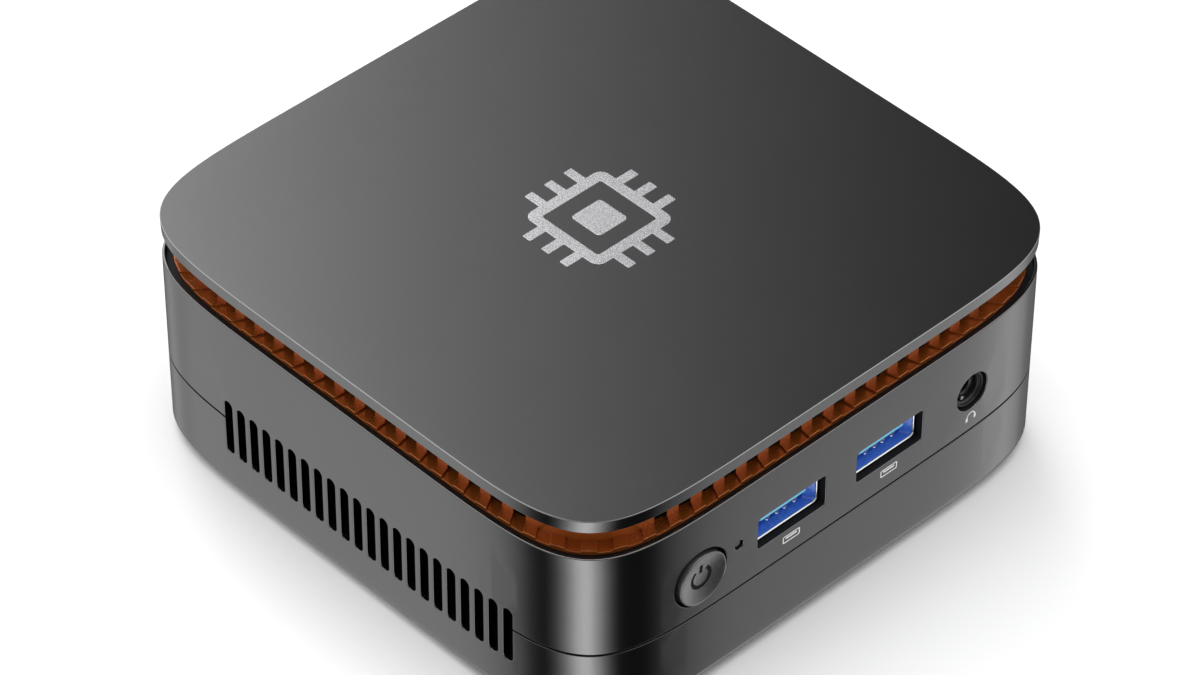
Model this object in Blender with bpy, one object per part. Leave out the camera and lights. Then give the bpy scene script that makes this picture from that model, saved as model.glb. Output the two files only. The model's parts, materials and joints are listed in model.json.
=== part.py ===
"""A palm-sized desktop computer: two moulded shells, a metal top plate held up on a castellated
copper-coloured vent ring, and the working parts inside.

The origin is under the middle of the case, at the bottom of its rubber feet. The front, with the
power button, two USB ports and the audio jack, faces -Y. Lengths are in metres.
"""

import math

import bmesh
import bpy
import numpy as np

MM = 0.001

# The case, seen from above, is a square with soft corners: |x|^n + |y|^n = (side / 2)^n.
SIDE = 128 * MM
CORNER_POWER = 7
OUTLINE_STEPS = 48
WALL = 1.6 * MM
FIT = 0.3 * MM

# Heights above the table, from the feet up.
FOOT_HEIGHT = 1.5 * MM
FLOOR_TOP = FOOT_HEIGHT + WALL
SEAM = 18.75 * MM
SEAM_GAP = 0.4 * MM
DECK_BOTTOM = 40.0 * MM
DECK_TOP = 41.4 * MM
RIM = 42.6 * MM
PLATE_BOTTOM = 49.0 * MM
PLATE_TOP = 51.75 * MM
HEIGHT = 52.0 * MM

# Side vents: upright slots with round ends, cut where the two shells meet.
SLOT_COUNT = 22
SLOT_WIDTH = 2.3 * MM
SLOT_PITCH = 3.63 * MM
SLOT_MIDDLE = -4.6 * MM
SLOT_BOTTOM = 10.4 * MM
SLOT_TOP = 23.3 * MM
SLOT_HALF_SPAN = (SLOT_COUNT - 1) * SLOT_PITCH / 2
COMB_END = SLOT_BOTTOM + SLOT_WIDTH / 2

# The vent ring under the top plate: the sides of its outlines, all scaled from one middle.
TOOTH_COUNT = 80
RING_SIDE = SIDE - 3.3 * MM
RING_WALL_SIDE = SIDE - 7.8 * MM
RING_INNER_SIDE = SIDE - 9.8 * MM
RING_FLOOR = 42.3 * MM
TOOTH_TOP = 42.75 * MM
CLOSED_GAPS_PER_CORNER = 4

# Front panel.
FRONT = -SIDE / 2
BUTTON_X, BUTTON_Z = -35.6 * MM, 27.5 * MM
BUTTON_RADIUS = 5.9 * MM
BUTTON_HOLE_RADIUS = 6.4 * MM
BUTTON_PROUD = 0.44 * MM
BUTTON_FACE = FRONT - BUTTON_PROUD
LIGHT_X, LIGHT_Z = -26.2 * MM, 29.4 * MM
LIGHT_HOLE_RADIUS = 1.05 * MM
USB_X = 12.75 * MM
PORT_Z = 28.65 * MM
USB_CUTOUT = (17.4 * MM, 7.4 * MM)
AUDIO_X, AUDIO_Z = 35.0 * MM, 28.3 * MM
AUDIO_HOLE_RADIUS = 4.2 * MM

# Standard USB-A receptacle: the opening that takes the plug, and its tongue.
USB_OPENING = (12.5 * MM, 5.12 * MM)
USB_LINER = 0.3 * MM
USB_TONGUE = (11.1 * MM, 1.84 * MM)
USB_DEPTH = 14.0 * MM
USB_MOUTH = (16.6 * MM, 6.9 * MM)
SHEET = 0.3 * MM
SLIP = 0.1 * MM

# The tips of the USB and display tongues and of the power pin stand this far from the middle plane.
SOCKET_TIP = SIDE / 2 - 3.8 * MM

# Rear panel, from +X to -X, which is left to right for someone looking at it.
REAR = SIDE / 2
REAR_PROUD = BUTTON_PROUD
DC_X, DC_Z = 44.5 * MM, 29.2 * MM
HDMI_XS = (30.4 * MM, 12.8 * MM)
ETHERNET_X, ETHERNET_Z = -5.8 * MM, 31.45 * MM
REAR_USB_XS = (-23.8 * MM, -40.5 * MM)
HDMI_OPENING = (14.0 * MM, 4.55 * MM)
ETHERNET_OPENING = (11.8 * MM, 8.2 * MM)

# Inside.
BOARD_BOTTOM = 22.6 * MM
BOARD_TOP = 24.2 * MM
BOARD_SIDE = 117 * MM
BOARD_CHAMFER = 18 * MM
STANDOFF = 46 * MM
STANDOFF_RADIUS = 3.0 * MM
COLUMN = 52.4 * MM
COLUMN_RADIUS = 3.0 * MM
COLUMN_BOTTOM = 5.9 * MM
PLATE_BOSS = 40 * MM
FAN_OPENING_RADIUS = 28.5 * MM
FAN_SIDE = 60 * MM
FAN_BOTTOM, FAN_TOP = 31.6 * MM, 39.7 * MM
FAN_CORNER_REACH = 38.1 * MM
FAN_BORE_RADIUS = 27.5 * MM
FAN_SCREW = 26.0 * MM
HUB_RADIUS = 12.0 * MM
BLADE_COUNT = 9
BLADE_TIP_RADIUS = 26.6 * MM
SINK_BOTTOM, SINK_TOP = 26.0 * MM, 31.3 * MM
FOOT_PLACE = 43 * MM
FOOT_RADIUS = 6.5 * MM
SCREW_CLEARANCE_RADIUS = 1.45 * MM

ROUND_STEPS = 12
SCREW_STEPS = 10
FINE_STEPS = 32

FINISHES = {
    "gunmetal": ((0.115, 0.117, 0.122), 0.38, 0.75),
    "plate_metal": ((0.085, 0.086, 0.09), 0.35, 0.8),
    "silver": ((0.62, 0.62, 0.64), 0.3, 0.95),
    "copper_amber": ((0.72, 0.2, 0.05), 0.35, 0.2),
    "black_plastic": ((0.012, 0.012, 0.013), 0.5, 0.0),
    "blue_plastic": ((0.02, 0.12, 0.55), 0.4, 0.0),
    "light_plastic": ((0.75, 0.78, 0.8), 0.3, 0.0),
    "rubber": ((0.02, 0.02, 0.02), 0.85, 0.0),
    "steel": ((0.55, 0.56, 0.57), 0.3, 1.0),
    "aluminium": ((0.6, 0.61, 0.62), 0.35, 1.0),
    "board_green": ((0.01, 0.07, 0.035), 0.45, 0.0),
    "copper": ((0.7, 0.33, 0.16), 0.35, 1.0),
}


# ---------------------------------------------------------------- outlines


def outline(side, steps=OUTLINE_STEPS):
    """Points round the soft-cornered square, closer together at its corners."""
    turn = 2 * np.pi * np.arange(steps) / steps
    across, along = np.cos(turn), np.sin(turn)
    power = 2 / CORNER_POWER
    x = np.sign(across) * np.abs(across) ** power * side / 2
    y = np.sign(along) * np.abs(along) ** power * side / 2
    return list(zip(x.tolist(), y.tolist()))


def spaced_outline(side, count):
    """Points at equal steps along the outline, the first one half a step from the middle of +X."""
    fine = np.array(outline(side, 8 * 512))
    fine = np.vstack([fine, fine[:1]])
    travelled = np.concatenate([[0], np.cumsum(np.hypot(*np.diff(fine, axis=0).T))])
    stations = travelled[-1] * (np.arange(count) + 0.5) / count
    return np.column_stack([np.interp(stations, travelled, fine[:, k]) for k in (0, 1)])


def circle(radius, steps=ROUND_STEPS, centre=(0, 0)):
    """Points round a circle, anticlockwise from its +X side."""
    turn = 2 * np.pi * np.arange(steps) / steps
    x = centre[0] + radius * np.cos(turn)
    y = centre[1] + radius * np.sin(turn)
    return list(zip(x.tolist(), y.tolist()))


def rounded_rectangle(width, height, radius, arc_steps=3):
    """A rectangle round the origin with quarter-circle corners."""
    points = []
    for corner, (sign_x, sign_y) in enumerate(((1, 1), (-1, 1), (-1, -1), (1, -1))):
        for step in range(arc_steps + 1):
            angle = math.pi / 2 * (corner + step / arc_steps)
            x = sign_x * (width / 2 - radius) + radius * math.cos(angle)
            y = sign_y * (height / 2 - radius) + radius * math.sin(angle)
            points.append((x, y))
    return points


def stadium(width, height, arc_steps=3):
    """An upright slot's outline: two straight sides and two half circles."""
    radius = width / 2
    reach = height / 2 - radius
    points = []
    for centre, start in ((reach, 0), (-reach, math.pi)):
        for step in range(arc_steps + 1):
            angle = start + math.pi * step / arc_steps
            points.append((radius * math.cos(angle), centre + radius * math.sin(angle)))
    return points


def chamfered_square(side, chamfer):
    """A square round the origin with its four corners cut off."""
    half, inner = side / 2, side / 2 - chamfer
    return [
        (half, inner), (inner, half), (-inner, half), (-half, inner),
        (-half, -inner), (-inner, -half), (inner, -half), (half, -inner),
    ]


def hdmi_outline(width, height):
    """A flat rectangle whose two lower corners are cut off at a slant."""
    half, top, slant = width / 2, height / 2, 1.6 * MM
    return [
        (half, top), (-half, top), (-half, slant - top), (slant - half, -top),
        (half - slant, -top), (half, slant - top),
    ]


# ---------------------------------------------------------------- meshes

# Where a flat outline's first axis, second axis and depth go.
PLANES = {"XY": (0, 1, 2), "XZ": (0, 2, 1), "YZ": (1, 2, 0)}


def finished_mesh(name, points, faces):
    """A closed mesh with its faces pointing outwards and its round sides shaded smooth."""
    shape = bmesh.new()
    vertices = [shape.verts.new(point) for point in points]
    for face in faces:
        shape.faces.new([vertices[index] for index in face])
    bmesh.ops.remove_doubles(shape, verts=shape.verts, dist=1e-7)
    bmesh.ops.recalc_face_normals(shape, faces=shape.faces)
    mesh = bpy.data.meshes.new(name)
    shape.to_mesh(mesh)
    shape.free()
    mesh.shade_smooth()
    mesh.set_sharp_from_angle(angle=math.radians(35))
    return mesh


def stack(name, levels, plane="XY", looped=False):
    """A solid skinned over outlines of equal length. A looped stack joins its last outline to its
    first, which leaves a hole through the middle. Any other one is closed by a face at each end."""
    first, second, depth = PLANES[plane]
    count = len(levels[0][0])
    points = []
    for loop, level in levels:
        for u, v in loop:
            point = [0.0, 0.0, 0.0]
            point[first], point[second], point[depth] = u, v, level
            points.append(point)
    faces = []
    for level in range(len(levels) if looped else len(levels) - 1):
        low, high = level * count, (level + 1) % len(levels) * count
        for k in range(count):
            after = (k + 1) % count
            faces.append((low + k, low + after, high + after, high + k))
    if not looped:
        faces.append(tuple(range(count)))
        faces.append(tuple(range(len(points) - count, len(points))))
    return finished_mesh(name, points, faces)


def block(name, size):
    """A rectangular block centred on the origin."""
    half_x, half_y, half_z = (length / 2 for length in size)
    loop = [(half_x, half_y), (-half_x, half_y), (-half_x, -half_y), (half_x, -half_y)]
    return stack(name, [(loop, -half_z), (loop, half_z)])


def rod(name, radius, start, end, plane="XY", steps=ROUND_STEPS):
    """A round bar from one level to another."""
    loop = circle(radius, steps)
    return stack(name, [(loop, start), (loop, end)], plane)


def turned(name, profile, plane="XY", steps=FINE_STEPS, looped=False):
    """A round piece from (radius, level) pairs, in order along its surface."""
    tiny = 0.02 * MM
    return stack(
        name, [(circle(max(radius, tiny), steps), level) for radius, level in profile], plane, looped
    )


def gathered(name, meshes_at):
    """Several meshes moved to their places and held in one, for a cutter or a union."""
    shape = bmesh.new()
    for mesh, place in meshes_at:
        before = len(shape.verts)
        shape.from_mesh(mesh)
        bmesh.ops.translate(shape, verts=shape.verts[before:], vec=place)
        shape.verts.ensure_lookup_table()
    mesh = bpy.data.meshes.new(name)
    shape.to_mesh(mesh)
    shape.free()
    return mesh


def smooth_route(points, per_span=6):
    """Points on a Catmull-Rom curve through the given ones."""
    route = np.array(points)
    route = np.vstack([2 * route[0] - route[1], route, 2 * route[-1] - route[-2]])
    share = np.linspace(0, 1, per_span, endpoint=False)[:, None]
    spans = []
    for before, start, end, after in zip(route[:-3], route[1:-2], route[2:-1], route[3:]):
        linear = end - before
        square = 2 * before - 5 * start + 4 * end - after
        cube = 3 * start - 3 * end + after - before
        spans.append(start + share / 2 * (linear + share * (square + share * cube)))
    spans.append(route[-2:-1])
    return np.vstack(spans)


# ---------------------------------------------------------------- objects


def clear_scene():
    for old in list(bpy.data.objects):
        bpy.data.objects.remove(old, do_unlink=True)


def material(name):
    """A Principled material of the named finish, made on first use."""
    found = bpy.data.materials.get(name)
    if found:
        return found
    colour, roughness, metallic = FINISHES[name]
    made = bpy.data.materials.new(name)
    made.use_nodes = True
    shader = made.node_tree.nodes["Principled BSDF"]
    shader.inputs["Base Color"].default_value = (*colour, 1)
    shader.inputs["Roughness"].default_value = roughness
    shader.inputs["Metallic"].default_value = metallic
    made.diffuse_color = (*colour, 1)
    return made


def axis_empty(name, place=(0, 0, 0)):
    """An empty that stands on a joint's axis, or at the case's origin."""
    empty = bpy.data.objects.new(name, None)
    empty.location = place
    bpy.context.scene.collection.objects.link(empty)
    return empty


def piece(name, mesh, finish, place=(0, 0, 0), turn=(0, 0, 0), parent=None):
    """A visible sub-part with its own material."""
    made = bpy.data.objects.new(name, mesh)
    if not mesh.materials:
        mesh.materials.append(material(finish))
    made.location = place
    made.rotation_euler = turn
    made.parent = parent
    bpy.context.scene.collection.objects.link(made)
    return made


def shape_with(target, name, mesh, operation, place=(0, 0, 0)):
    """Adds a mesh to the target, or cuts it away, through a hidden helper object."""
    helper = bpy.data.objects.new(name, mesh)
    helper.location = place
    helper.hide_render = True
    helper.display_type = "WIRE"
    bpy.context.scene.collection.objects.link(helper)
    change = target.modifiers.new(name, "BOOLEAN")
    change.operation = operation
    change.object = helper
    change.solver = "EXACT"


def cut(target, name, mesh, place=(0, 0, 0)):
    shape_with(target, name, mesh, "DIFFERENCE", place)


def add(target, name, mesh, place=(0, 0, 0)):
    shape_with(target, name, mesh, "UNION", place)


def corners(distance):
    """The four places at the same distance from both middle planes."""
    return [(sx * distance, sy * distance) for sx, sy in ((-1, -1), (1, -1), (1, 1), (-1, 1))]


def screw_mesh(name, radius, head_radius, head_height, length):
    """A pan-head screw: the head's top at level 0, its shank going down, a cross-shaped drive left out."""
    chamfer = head_height * 0.3
    profile = [
        (0, 0),
        (head_radius - chamfer, 0),
        (head_radius, -chamfer),
        (head_radius, -head_height),
        (radius, -head_height),
        (radius, -length + radius),
        (0, -length),
    ]
    return turned(name, profile, steps=SCREW_STEPS)


# ---------------------------------------------------------------- case


def slot_cutter():
    """The vent slots of both side walls as one cutter."""
    length = 12 * MM
    loop = stadium(SLOT_WIDTH, SLOT_TOP - SLOT_BOTTOM)
    bar = stack("slot_bar", [(loop, -length / 2), (loop, length / 2)], "YZ")
    middle = (SLOT_TOP + SLOT_BOTTOM) / 2
    places = []
    for side in (-1, 1):
        for index in range(SLOT_COUNT):
            y = SLOT_MIDDLE - SLOT_HALF_SPAN + index * SLOT_PITCH
            places.append((bar, (side * SIDE / 2, y, middle)))
    return gathered("slot_cutter", places)


def front_cutter():
    """The openings of the front panel: button, light, two ports and the jack."""
    start, end = FRONT - 3 * MM, FRONT + 4 * MM
    port = rounded_rectangle(*USB_CUTOUT, 0.9 * MM)
    port_mesh = stack("front_port_opening", [(port, start), (port, end)], "XZ")
    button = rod("button_opening", BUTTON_HOLE_RADIUS, start, end, "XZ", FINE_STEPS)
    light = rod("light_opening", LIGHT_HOLE_RADIUS, start, end, "XZ", 12)
    audio = rod("audio_opening", AUDIO_HOLE_RADIUS, start, end, "XZ", 24)
    return gathered("front_openings", [
        (button, (BUTTON_X, 0, BUTTON_Z)),
        (light, (LIGHT_X, 0, LIGHT_Z)),
        (port_mesh, (-USB_X, 0, PORT_Z)),
        (port_mesh, (USB_X, 0, PORT_Z)),
        (audio, (AUDIO_X, 0, AUDIO_Z)),
    ])


def rear_cutter():
    """The openings of the rear panel, a little larger than the connectors that show in them."""
    start, end = REAR - 4 * MM, REAR + 3 * MM
    usb = rounded_rectangle(14.7 * MM, 7.3 * MM, 0.6 * MM, 2)
    hdmi = hdmi_outline(15.8 * MM, 6.4 * MM)
    ethernet = rounded_rectangle(16.8 * MM, 14.0 * MM, 0.4 * MM, 2)
    places = [(rod("dc_opening", 4.4 * MM, start, end, "XZ", 24), (DC_X, 0, DC_Z))]
    usb_mesh = stack("rear_usb_opening", [(usb, start), (usb, end)], "XZ")
    hdmi_mesh = stack("hdmi_opening", [(hdmi, start), (hdmi, end)], "XZ")
    places += [(usb_mesh, (x, 0, PORT_Z)) for x in REAR_USB_XS]
    places += [(hdmi_mesh, (x, 0, PORT_Z)) for x in HDMI_XS]
    places.append((
        stack("ethernet_opening", [(ethernet, start), (ethernet, end)], "XZ"),
        (ETHERNET_X, 0, ETHERNET_Z),
    ))
    return gathered("rear_openings", places)


def make_upper_shell(case):
    """The upper walls and the deck, with a comb of bars that hangs down between the vent slots."""
    edge = 0.3 * MM
    bottom = COMB_END + FIT
    inner = outline(SIDE - 2 * WALL)
    lip_inner = outline(SIDE - 1.6 * MM)
    opening = circle(FAN_OPENING_RADIUS, OUTLINE_STEPS)
    shell = piece("upper_shell", stack("upper_shell", [
        (outline(SIDE), bottom),
        (outline(SIDE), RIM - edge),
        (outline(SIDE - 2 * edge), RIM),
        (lip_inner, RIM),
        (lip_inner, DECK_TOP),
        (opening, DECK_TOP),
        (opening, DECK_BOTTOM),
        (inner, DECK_BOTTOM),
        (inner, bottom),
    ], looped=True), "gunmetal", parent=case)

    comb_reach = 40 * MM
    seam_top = SEAM + SEAM_GAP / 2
    below = [
        (SLOT_MIDDLE - SLOT_HALF_SPAN - comb_reach / 2, "front"),
        (SLOT_MIDDLE + SLOT_HALF_SPAN + comb_reach / 2, "rear"),
    ]
    drop = seam_top - bottom + 2 * MM
    for y, end in below:
        trim = block(f"comb_trim_{end}", (SIDE + 10 * MM, comb_reach, drop))
        cut(shell, f"comb_trim_{end}", trim, (0, y, seam_top - drop / 2))
    column = rod("column", COLUMN_RADIUS, COLUMN_BOTTOM, DECK_BOTTOM + 0.7 * MM)
    add(shell, "columns", gathered("columns", [(column, (x, y, 0)) for x, y in corners(COLUMN)]))
    holes = [
        (rod("column_hole", SCREW_CLEARANCE_RADIUS, COLUMN_BOTTOM - MM, 16 * MM), (x, y, 0))
        for x, y in corners(COLUMN)
    ]
    holes += [
        (rod("deck_hole", SCREW_CLEARANCE_RADIUS, DECK_BOTTOM - MM, DECK_TOP + MM), (x, y, 0))
        for x, y in corners(PLATE_BOSS)
    ]
    cut(shell, "upper_screw_holes", gathered("upper_screw_holes", holes))
    cut(shell, "upper_slots", slot_cutter())
    cut(shell, "upper_front_openings", front_cutter())
    cut(shell, "upper_rear_openings", rear_cutter())


def make_lower_shell(case):
    """The tray: floor, walls up to the seam, a lip that steps inside the upper walls, stand-offs."""
    top = SEAM - SEAM_GAP / 2
    lip_side = SIDE - 2 * WALL - 2 * FIT
    lip_inner = lip_side - 2 * MM
    inner = SIDE - 2 * WALL
    shell = piece("lower_shell", stack("lower_shell", [
        (outline(SIDE - 3.2 * MM), FOOT_HEIGHT),
        (outline(SIDE - 1.4 * MM), FOOT_HEIGHT + 0.35 * MM),
        (outline(SIDE - 0.4 * MM), FOOT_HEIGHT + 1.0 * MM),
        (outline(SIDE), FOOT_HEIGHT + 1.9 * MM),
        (outline(SIDE), top),
        (outline(lip_side), top),
        (outline(lip_side), top + 1.8 * MM),
        (outline(lip_inner), top + 1.8 * MM),
        (outline(lip_inner), top - 2 * MM),
        (outline(inner), top - 3.5 * MM),
        (outline(inner), FLOOR_TOP),
    ]), "gunmetal", parent=case)

    notch_height = 12 * MM
    notch = block("notch", (12 * MM, 2 * SLOT_HALF_SPAN, notch_height))
    cut(shell, "comb_notches", gathered("comb_notches", [
        (notch, (side * SIDE / 2, SLOT_MIDDLE, COMB_END + notch_height / 2)) for side in (-1, 1)
    ]))
    cut(shell, "lower_slots", slot_cutter())

    stand_off = rod("stand_off", STANDOFF_RADIUS, FLOOR_TOP - 0.5 * MM, BOARD_BOTTOM - FIT)
    screw_boss = rod("screw_boss", 3.7 * MM, FLOOR_TOP - 0.5 * MM, COLUMN_BOTTOM - FIT)
    add(shell, "stand_offs", gathered("stand_offs",
        [(stand_off, (x, y, 0)) for x, y in corners(STANDOFF)]
        + [(screw_boss, (x, y, 0)) for x, y in corners(COLUMN)]))

    stand_off_hole = rod("stand_off_hole", SCREW_CLEARANCE_RADIUS, 14 * MM, BOARD_BOTTOM + MM)
    counterbore = turned("counterbore", [
        (0, FOOT_HEIGHT - MM),
        (2.7 * MM, FOOT_HEIGHT - MM),
        (2.7 * MM, FOOT_HEIGHT + 2.4 * MM),
        (SCREW_CLEARANCE_RADIUS, FOOT_HEIGHT + 2.4 * MM),
        (SCREW_CLEARANCE_RADIUS, COLUMN_BOTTOM + MM),
        (0, COLUMN_BOTTOM + MM),
    ], steps=ROUND_STEPS)
    foot_seat = rod("foot_seat", FOOT_RADIUS + FIT, FOOT_HEIGHT - MM, FOOT_HEIGHT + 0.6 * MM, steps=24)
    holes = [(stand_off_hole, (x, y, 0)) for x, y in corners(STANDOFF)]
    holes += [(counterbore, (x, y, 0)) for x, y in corners(COLUMN)]
    holes += [(foot_seat, (x, y, 0)) for x, y in corners(FOOT_PLACE)]
    cut(shell, "lower_screw_holes", gathered("lower_screw_holes", holes))
    cut(shell, "floor_vents", floor_vent_cutter())


def floor_vent_cutter():
    """Rows of short slots in the floor, through which the fan draws air in."""
    loop = rounded_rectangle(15 * MM, 2 * MM, 0.99 * MM, 2)
    slot = stack("floor_vent", [(loop, FOOT_HEIGHT - MM), (loop, FLOOR_TOP + MM)])
    columns, rows = 3, 8
    places = []
    for column in range(columns):
        for row in range(rows):
            x = (column - (columns - 1) / 2) * 18 * MM
            y = (row - (rows - 1) / 2) * 5.4 * MM
            places.append((slot, (x, y, 0)))
    return gathered("floor_vents", places)


def make_feet_and_base_screws(case):
    """A rubber pad in each foot seat, and a case screw beside it."""
    foot = turned("rubber_foot", [
        (0, 0),
        (FOOT_RADIUS - 0.6 * MM, 0),
        (FOOT_RADIUS, 0.6 * MM),
        (FOOT_RADIUS, FOOT_HEIGHT + 0.3 * MM),
        (0, FOOT_HEIGHT + 0.3 * MM),
    ], steps=24)
    screw = screw_mesh("base_screw", 1.25 * MM, 2.3 * MM, 1.6 * MM, 10 * MM)
    for index, (x, y) in enumerate(corners(FOOT_PLACE), 1):
        piece(f"rubber_foot_{index}", foot, "rubber", (x, y, 0), parent=case)
    for index, (x, y) in enumerate(corners(COLUMN), 1):
        place = (x, y, FOOT_HEIGHT + 0.5 * MM)
        piece(f"base_screw_{index}", screw, "steel", place, (math.pi, 0, 0), case)


def make_top_plate(case):
    """The metal plate, pocketed underneath, on four bosses that stand on the deck."""
    edge = 0.25 * MM
    pocket = outline(SIDE - 8 * MM)
    plate = piece("top_plate", stack("top_plate", [
        (outline(SIDE - 1.0 * MM), PLATE_BOTTOM),
        (outline(SIDE), PLATE_TOP - edge),
        (outline(SIDE - 2 * edge), PLATE_TOP),
    ]), "plate_metal", parent=case)
    cut(plate, "plate_pocket", stack("plate_pocket", [
        (pocket, PLATE_BOTTOM - MM), (pocket, PLATE_TOP - 1.5 * MM),
    ]))
    boss = rod("plate_boss", 3 * MM, DECK_TOP + FIT, PLATE_TOP - 1.2 * MM)
    hole = rod("plate_boss_hole", SCREW_CLEARANCE_RADIUS, DECK_TOP - MM, 48 * MM)
    add(plate, "plate_bosses", gathered("plate_bosses", [
        (boss, (x, y, 0)) for x, y in corners(PLATE_BOSS)
    ]))
    cut(plate, "plate_boss_holes", gathered("plate_boss_holes", [
        (hole, (x, y, 0)) for x, y in corners(PLATE_BOSS)
    ]))
    screw = screw_mesh("plate_screw", 1.2 * MM, 2.2 * MM, 1.3 * MM, 7 * MM)
    for index, (x, y) in enumerate(corners(PLATE_BOSS), 1):
        place = (x, y, DECK_BOTTOM - 1.3 * MM - FIT)
        piece(f"plate_screw_{index}", screw, "steel", place, (math.pi, 0, 0), case)


def make_emblem(case):
    """A plain chip pictogram on the top plate: a square frame with pins, and a core."""
    bottom, top = PLATE_TOP + 0.05 * MM, HEIGHT
    frame_side, band, pin_width, pin_length, pin_pitch = 20 * MM, 2.4 * MM, 2 * MM, 4 * MM, 5 * MM
    outer = rounded_rectangle(frame_side, frame_side, 2 * MM)
    inner = rounded_rectangle(frame_side - 2 * band, frame_side - 2 * band, 0.6 * MM)
    frame = piece("emblem_frame", stack("emblem_frame", [
        (outer, bottom), (outer, top), (inner, top), (inner, bottom),
    ], looped=True), "silver", parent=case)
    thickness = top - bottom
    reach = frame_side / 2 - 0.5 * band + (pin_length + 0.5 * band) / 2
    length = pin_length + 0.5 * band
    pins = []
    for index in range(3):
        shift = (index - 1) * pin_pitch
        across = block("pin_across", (length, pin_width, thickness))
        along = block("pin_along", (pin_width, length, thickness))
        middle = (bottom + top) / 2
        for side in (-1, 1):
            pins.append((across, (side * reach, shift, middle)))
            pins.append((along, (shift, side * reach, middle)))
    add(frame, "emblem_pins", gathered("emblem_pins", pins))
    core = rounded_rectangle(7.6 * MM, 7.6 * MM, 0.8 * MM)
    core_mesh = stack("emblem_core", [(core, bottom), (core, top)])
    piece("emblem_core", core_mesh, "silver", parent=case)


def make_vent_ring(case):
    """The castellated ring under the plate: a shelf with low teeth along its outer edge, one of them
    at each corner, and a wall behind them. Between the teeth the wall is open down to the shelf and
    lets air through, except next to the corners."""
    count = 2 * TOOTH_COUNT
    bottom, floor, tooth, top = range(4)
    levels = (DECK_TOP + FIT, RING_FLOOR, TOOTH_TOP, PLATE_BOTTOM - FIT)
    outer, middle, inner = range(3)
    line = spaced_outline(RING_SIDE, count)
    points = [
        (*(xy * side / RING_SIDE), z)
        for side in (RING_SIDE, RING_WALL_SIDE, RING_INNER_SIDE) for z in levels for xy in line
    ]

    def at(ring, level, station):
        return (ring * 4 + level) * count + station % count

    faces = []

    def skin(left, right, *edges):
        """Faces between two stations, from each edge to the next."""
        for one, other in zip(edges, edges[1:]):
            faces.append([at(*one, left), at(*one, right), at(*other, right), at(*other, left)])

    quarter = count // 4
    for start in range(1, count, 2):
        end, after = start + 1, start + 2
        near_corner = abs(after % quarter - quarter / 2) < CLOSED_GAPS_PER_CORNER
        back = ((inner, floor), (inner, bottom), (outer, bottom), (outer, floor))
        crown = ((middle, tooth), (middle, top), (inner, top))
        skin(start, end, (outer, floor), (outer, tooth), *crown, *back)
        if near_corner:
            skin(end, after, (outer, floor), (middle, floor), *crown, *back)
            side = [(outer, floor), (outer, tooth), (middle, tooth), (middle, floor)]
        else:
            skin(end, after, (outer, floor), *back)
            side = [(outer, floor), (outer, tooth), *crown, (inner, floor)]
        for station in (end, after):
            faces.append([at(*corner, station) for corner in side])
    piece("vent_ring", finished_mesh("vent_ring", points, faces), "copper_amber", parent=case)


# ---------------------------------------------------------------- front panel


def make_power_button(case):
    """The button slides in along +Y and pushes the switch's plunger before it."""
    axis = axis_empty("power_button_axis", (BUTTON_X, BUTTON_FACE, BUTTON_Z))
    axis.parent = case
    dish = 0.6 * MM
    profile = [
        (0, dish),
        (0.45 * BUTTON_RADIUS, 0.8 * dish),
        (0.8 * BUTTON_RADIUS, 0.35 * dish),
        (BUTTON_RADIUS - 0.45 * MM, 0.05 * MM),
        (BUTTON_RADIUS - 0.25 * MM, 0),
        (BUTTON_RADIUS, 0.25 * MM),
        (BUTTON_RADIUS, 2.9 * MM),
        (BUTTON_RADIUS + 1.1 * MM, 2.9 * MM),
        (BUTTON_RADIUS + 1.1 * MM, 3.6 * MM),
        (2 * MM, 3.6 * MM),
        (2 * MM, 5.2 * MM),
        (0, 5.2 * MM),
    ]
    piece("power_button", turned("power_button", profile, "XZ"), "gunmetal", parent=axis)

    plunger_start = 5.3 * MM
    plunger_axis = axis_empty("switch_plunger_axis", (BUTTON_X, BUTTON_FACE, BUTTON_Z))
    plunger_axis.parent = case
    plunger = rod("switch_plunger", 1.5 * MM, plunger_start, plunger_start + 2.6 * MM, "XZ")
    piece("switch_plunger", plunger, "black_plastic", parent=plunger_axis)

    depth = 4.2 * MM
    face = BUTTON_FACE + plunger_start + 1.6 * MM
    body = piece("power_switch", block("power_switch", (6.2 * MM, depth, 6 * MM)), "black_plastic",
                 (BUTTON_X, face + depth / 2, BUTTON_Z), parent=case)
    bore = rod("plunger_bore", 1.8 * MM, face - MM, face + 1.8 * MM, "XZ")
    cut(body, "plunger_bore", bore, (BUTTON_X, 0, BUTTON_Z))


def make_status_light(case):
    """A clear rod that carries the light of a lamp on the board to the pinhole."""
    tip = FRONT + 0.45 * MM
    pipe = rod("light_pipe", 0.8 * MM, tip, tip + 6 * MM, "XZ", 12)
    piece("light_pipe", pipe, "light_plastic", (LIGHT_X, 0, LIGHT_Z), parent=case)


def usb_shell_mesh(mouth, flare):
    """A sheet-metal sleeve that widens at its mouth, which is at level 0."""
    clear = 2 * (USB_LINER + SLIP)
    inner = (USB_OPENING[0] + clear, USB_OPENING[1] + clear)
    outer = (inner[0] + 2 * SHEET, inner[1] + 2 * SHEET)
    mouth_inner = (mouth[0] - 2 * SHEET, mouth[1] - 2 * SHEET)

    def loop(size, radius):
        return rounded_rectangle(*size, radius, 2)

    return stack("usb_shell", [
        (loop(mouth, 0.8 * MM), 0),
        (loop(outer, 0.6 * MM), flare),
        (loop(outer, 0.6 * MM), USB_DEPTH),
        (loop(inner, 0.4 * MM), USB_DEPTH),
        (loop(inner, 0.4 * MM), flare),
        (loop(mouth_inner, 0.6 * MM), 0),
    ], "XZ", looped=True)


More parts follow.
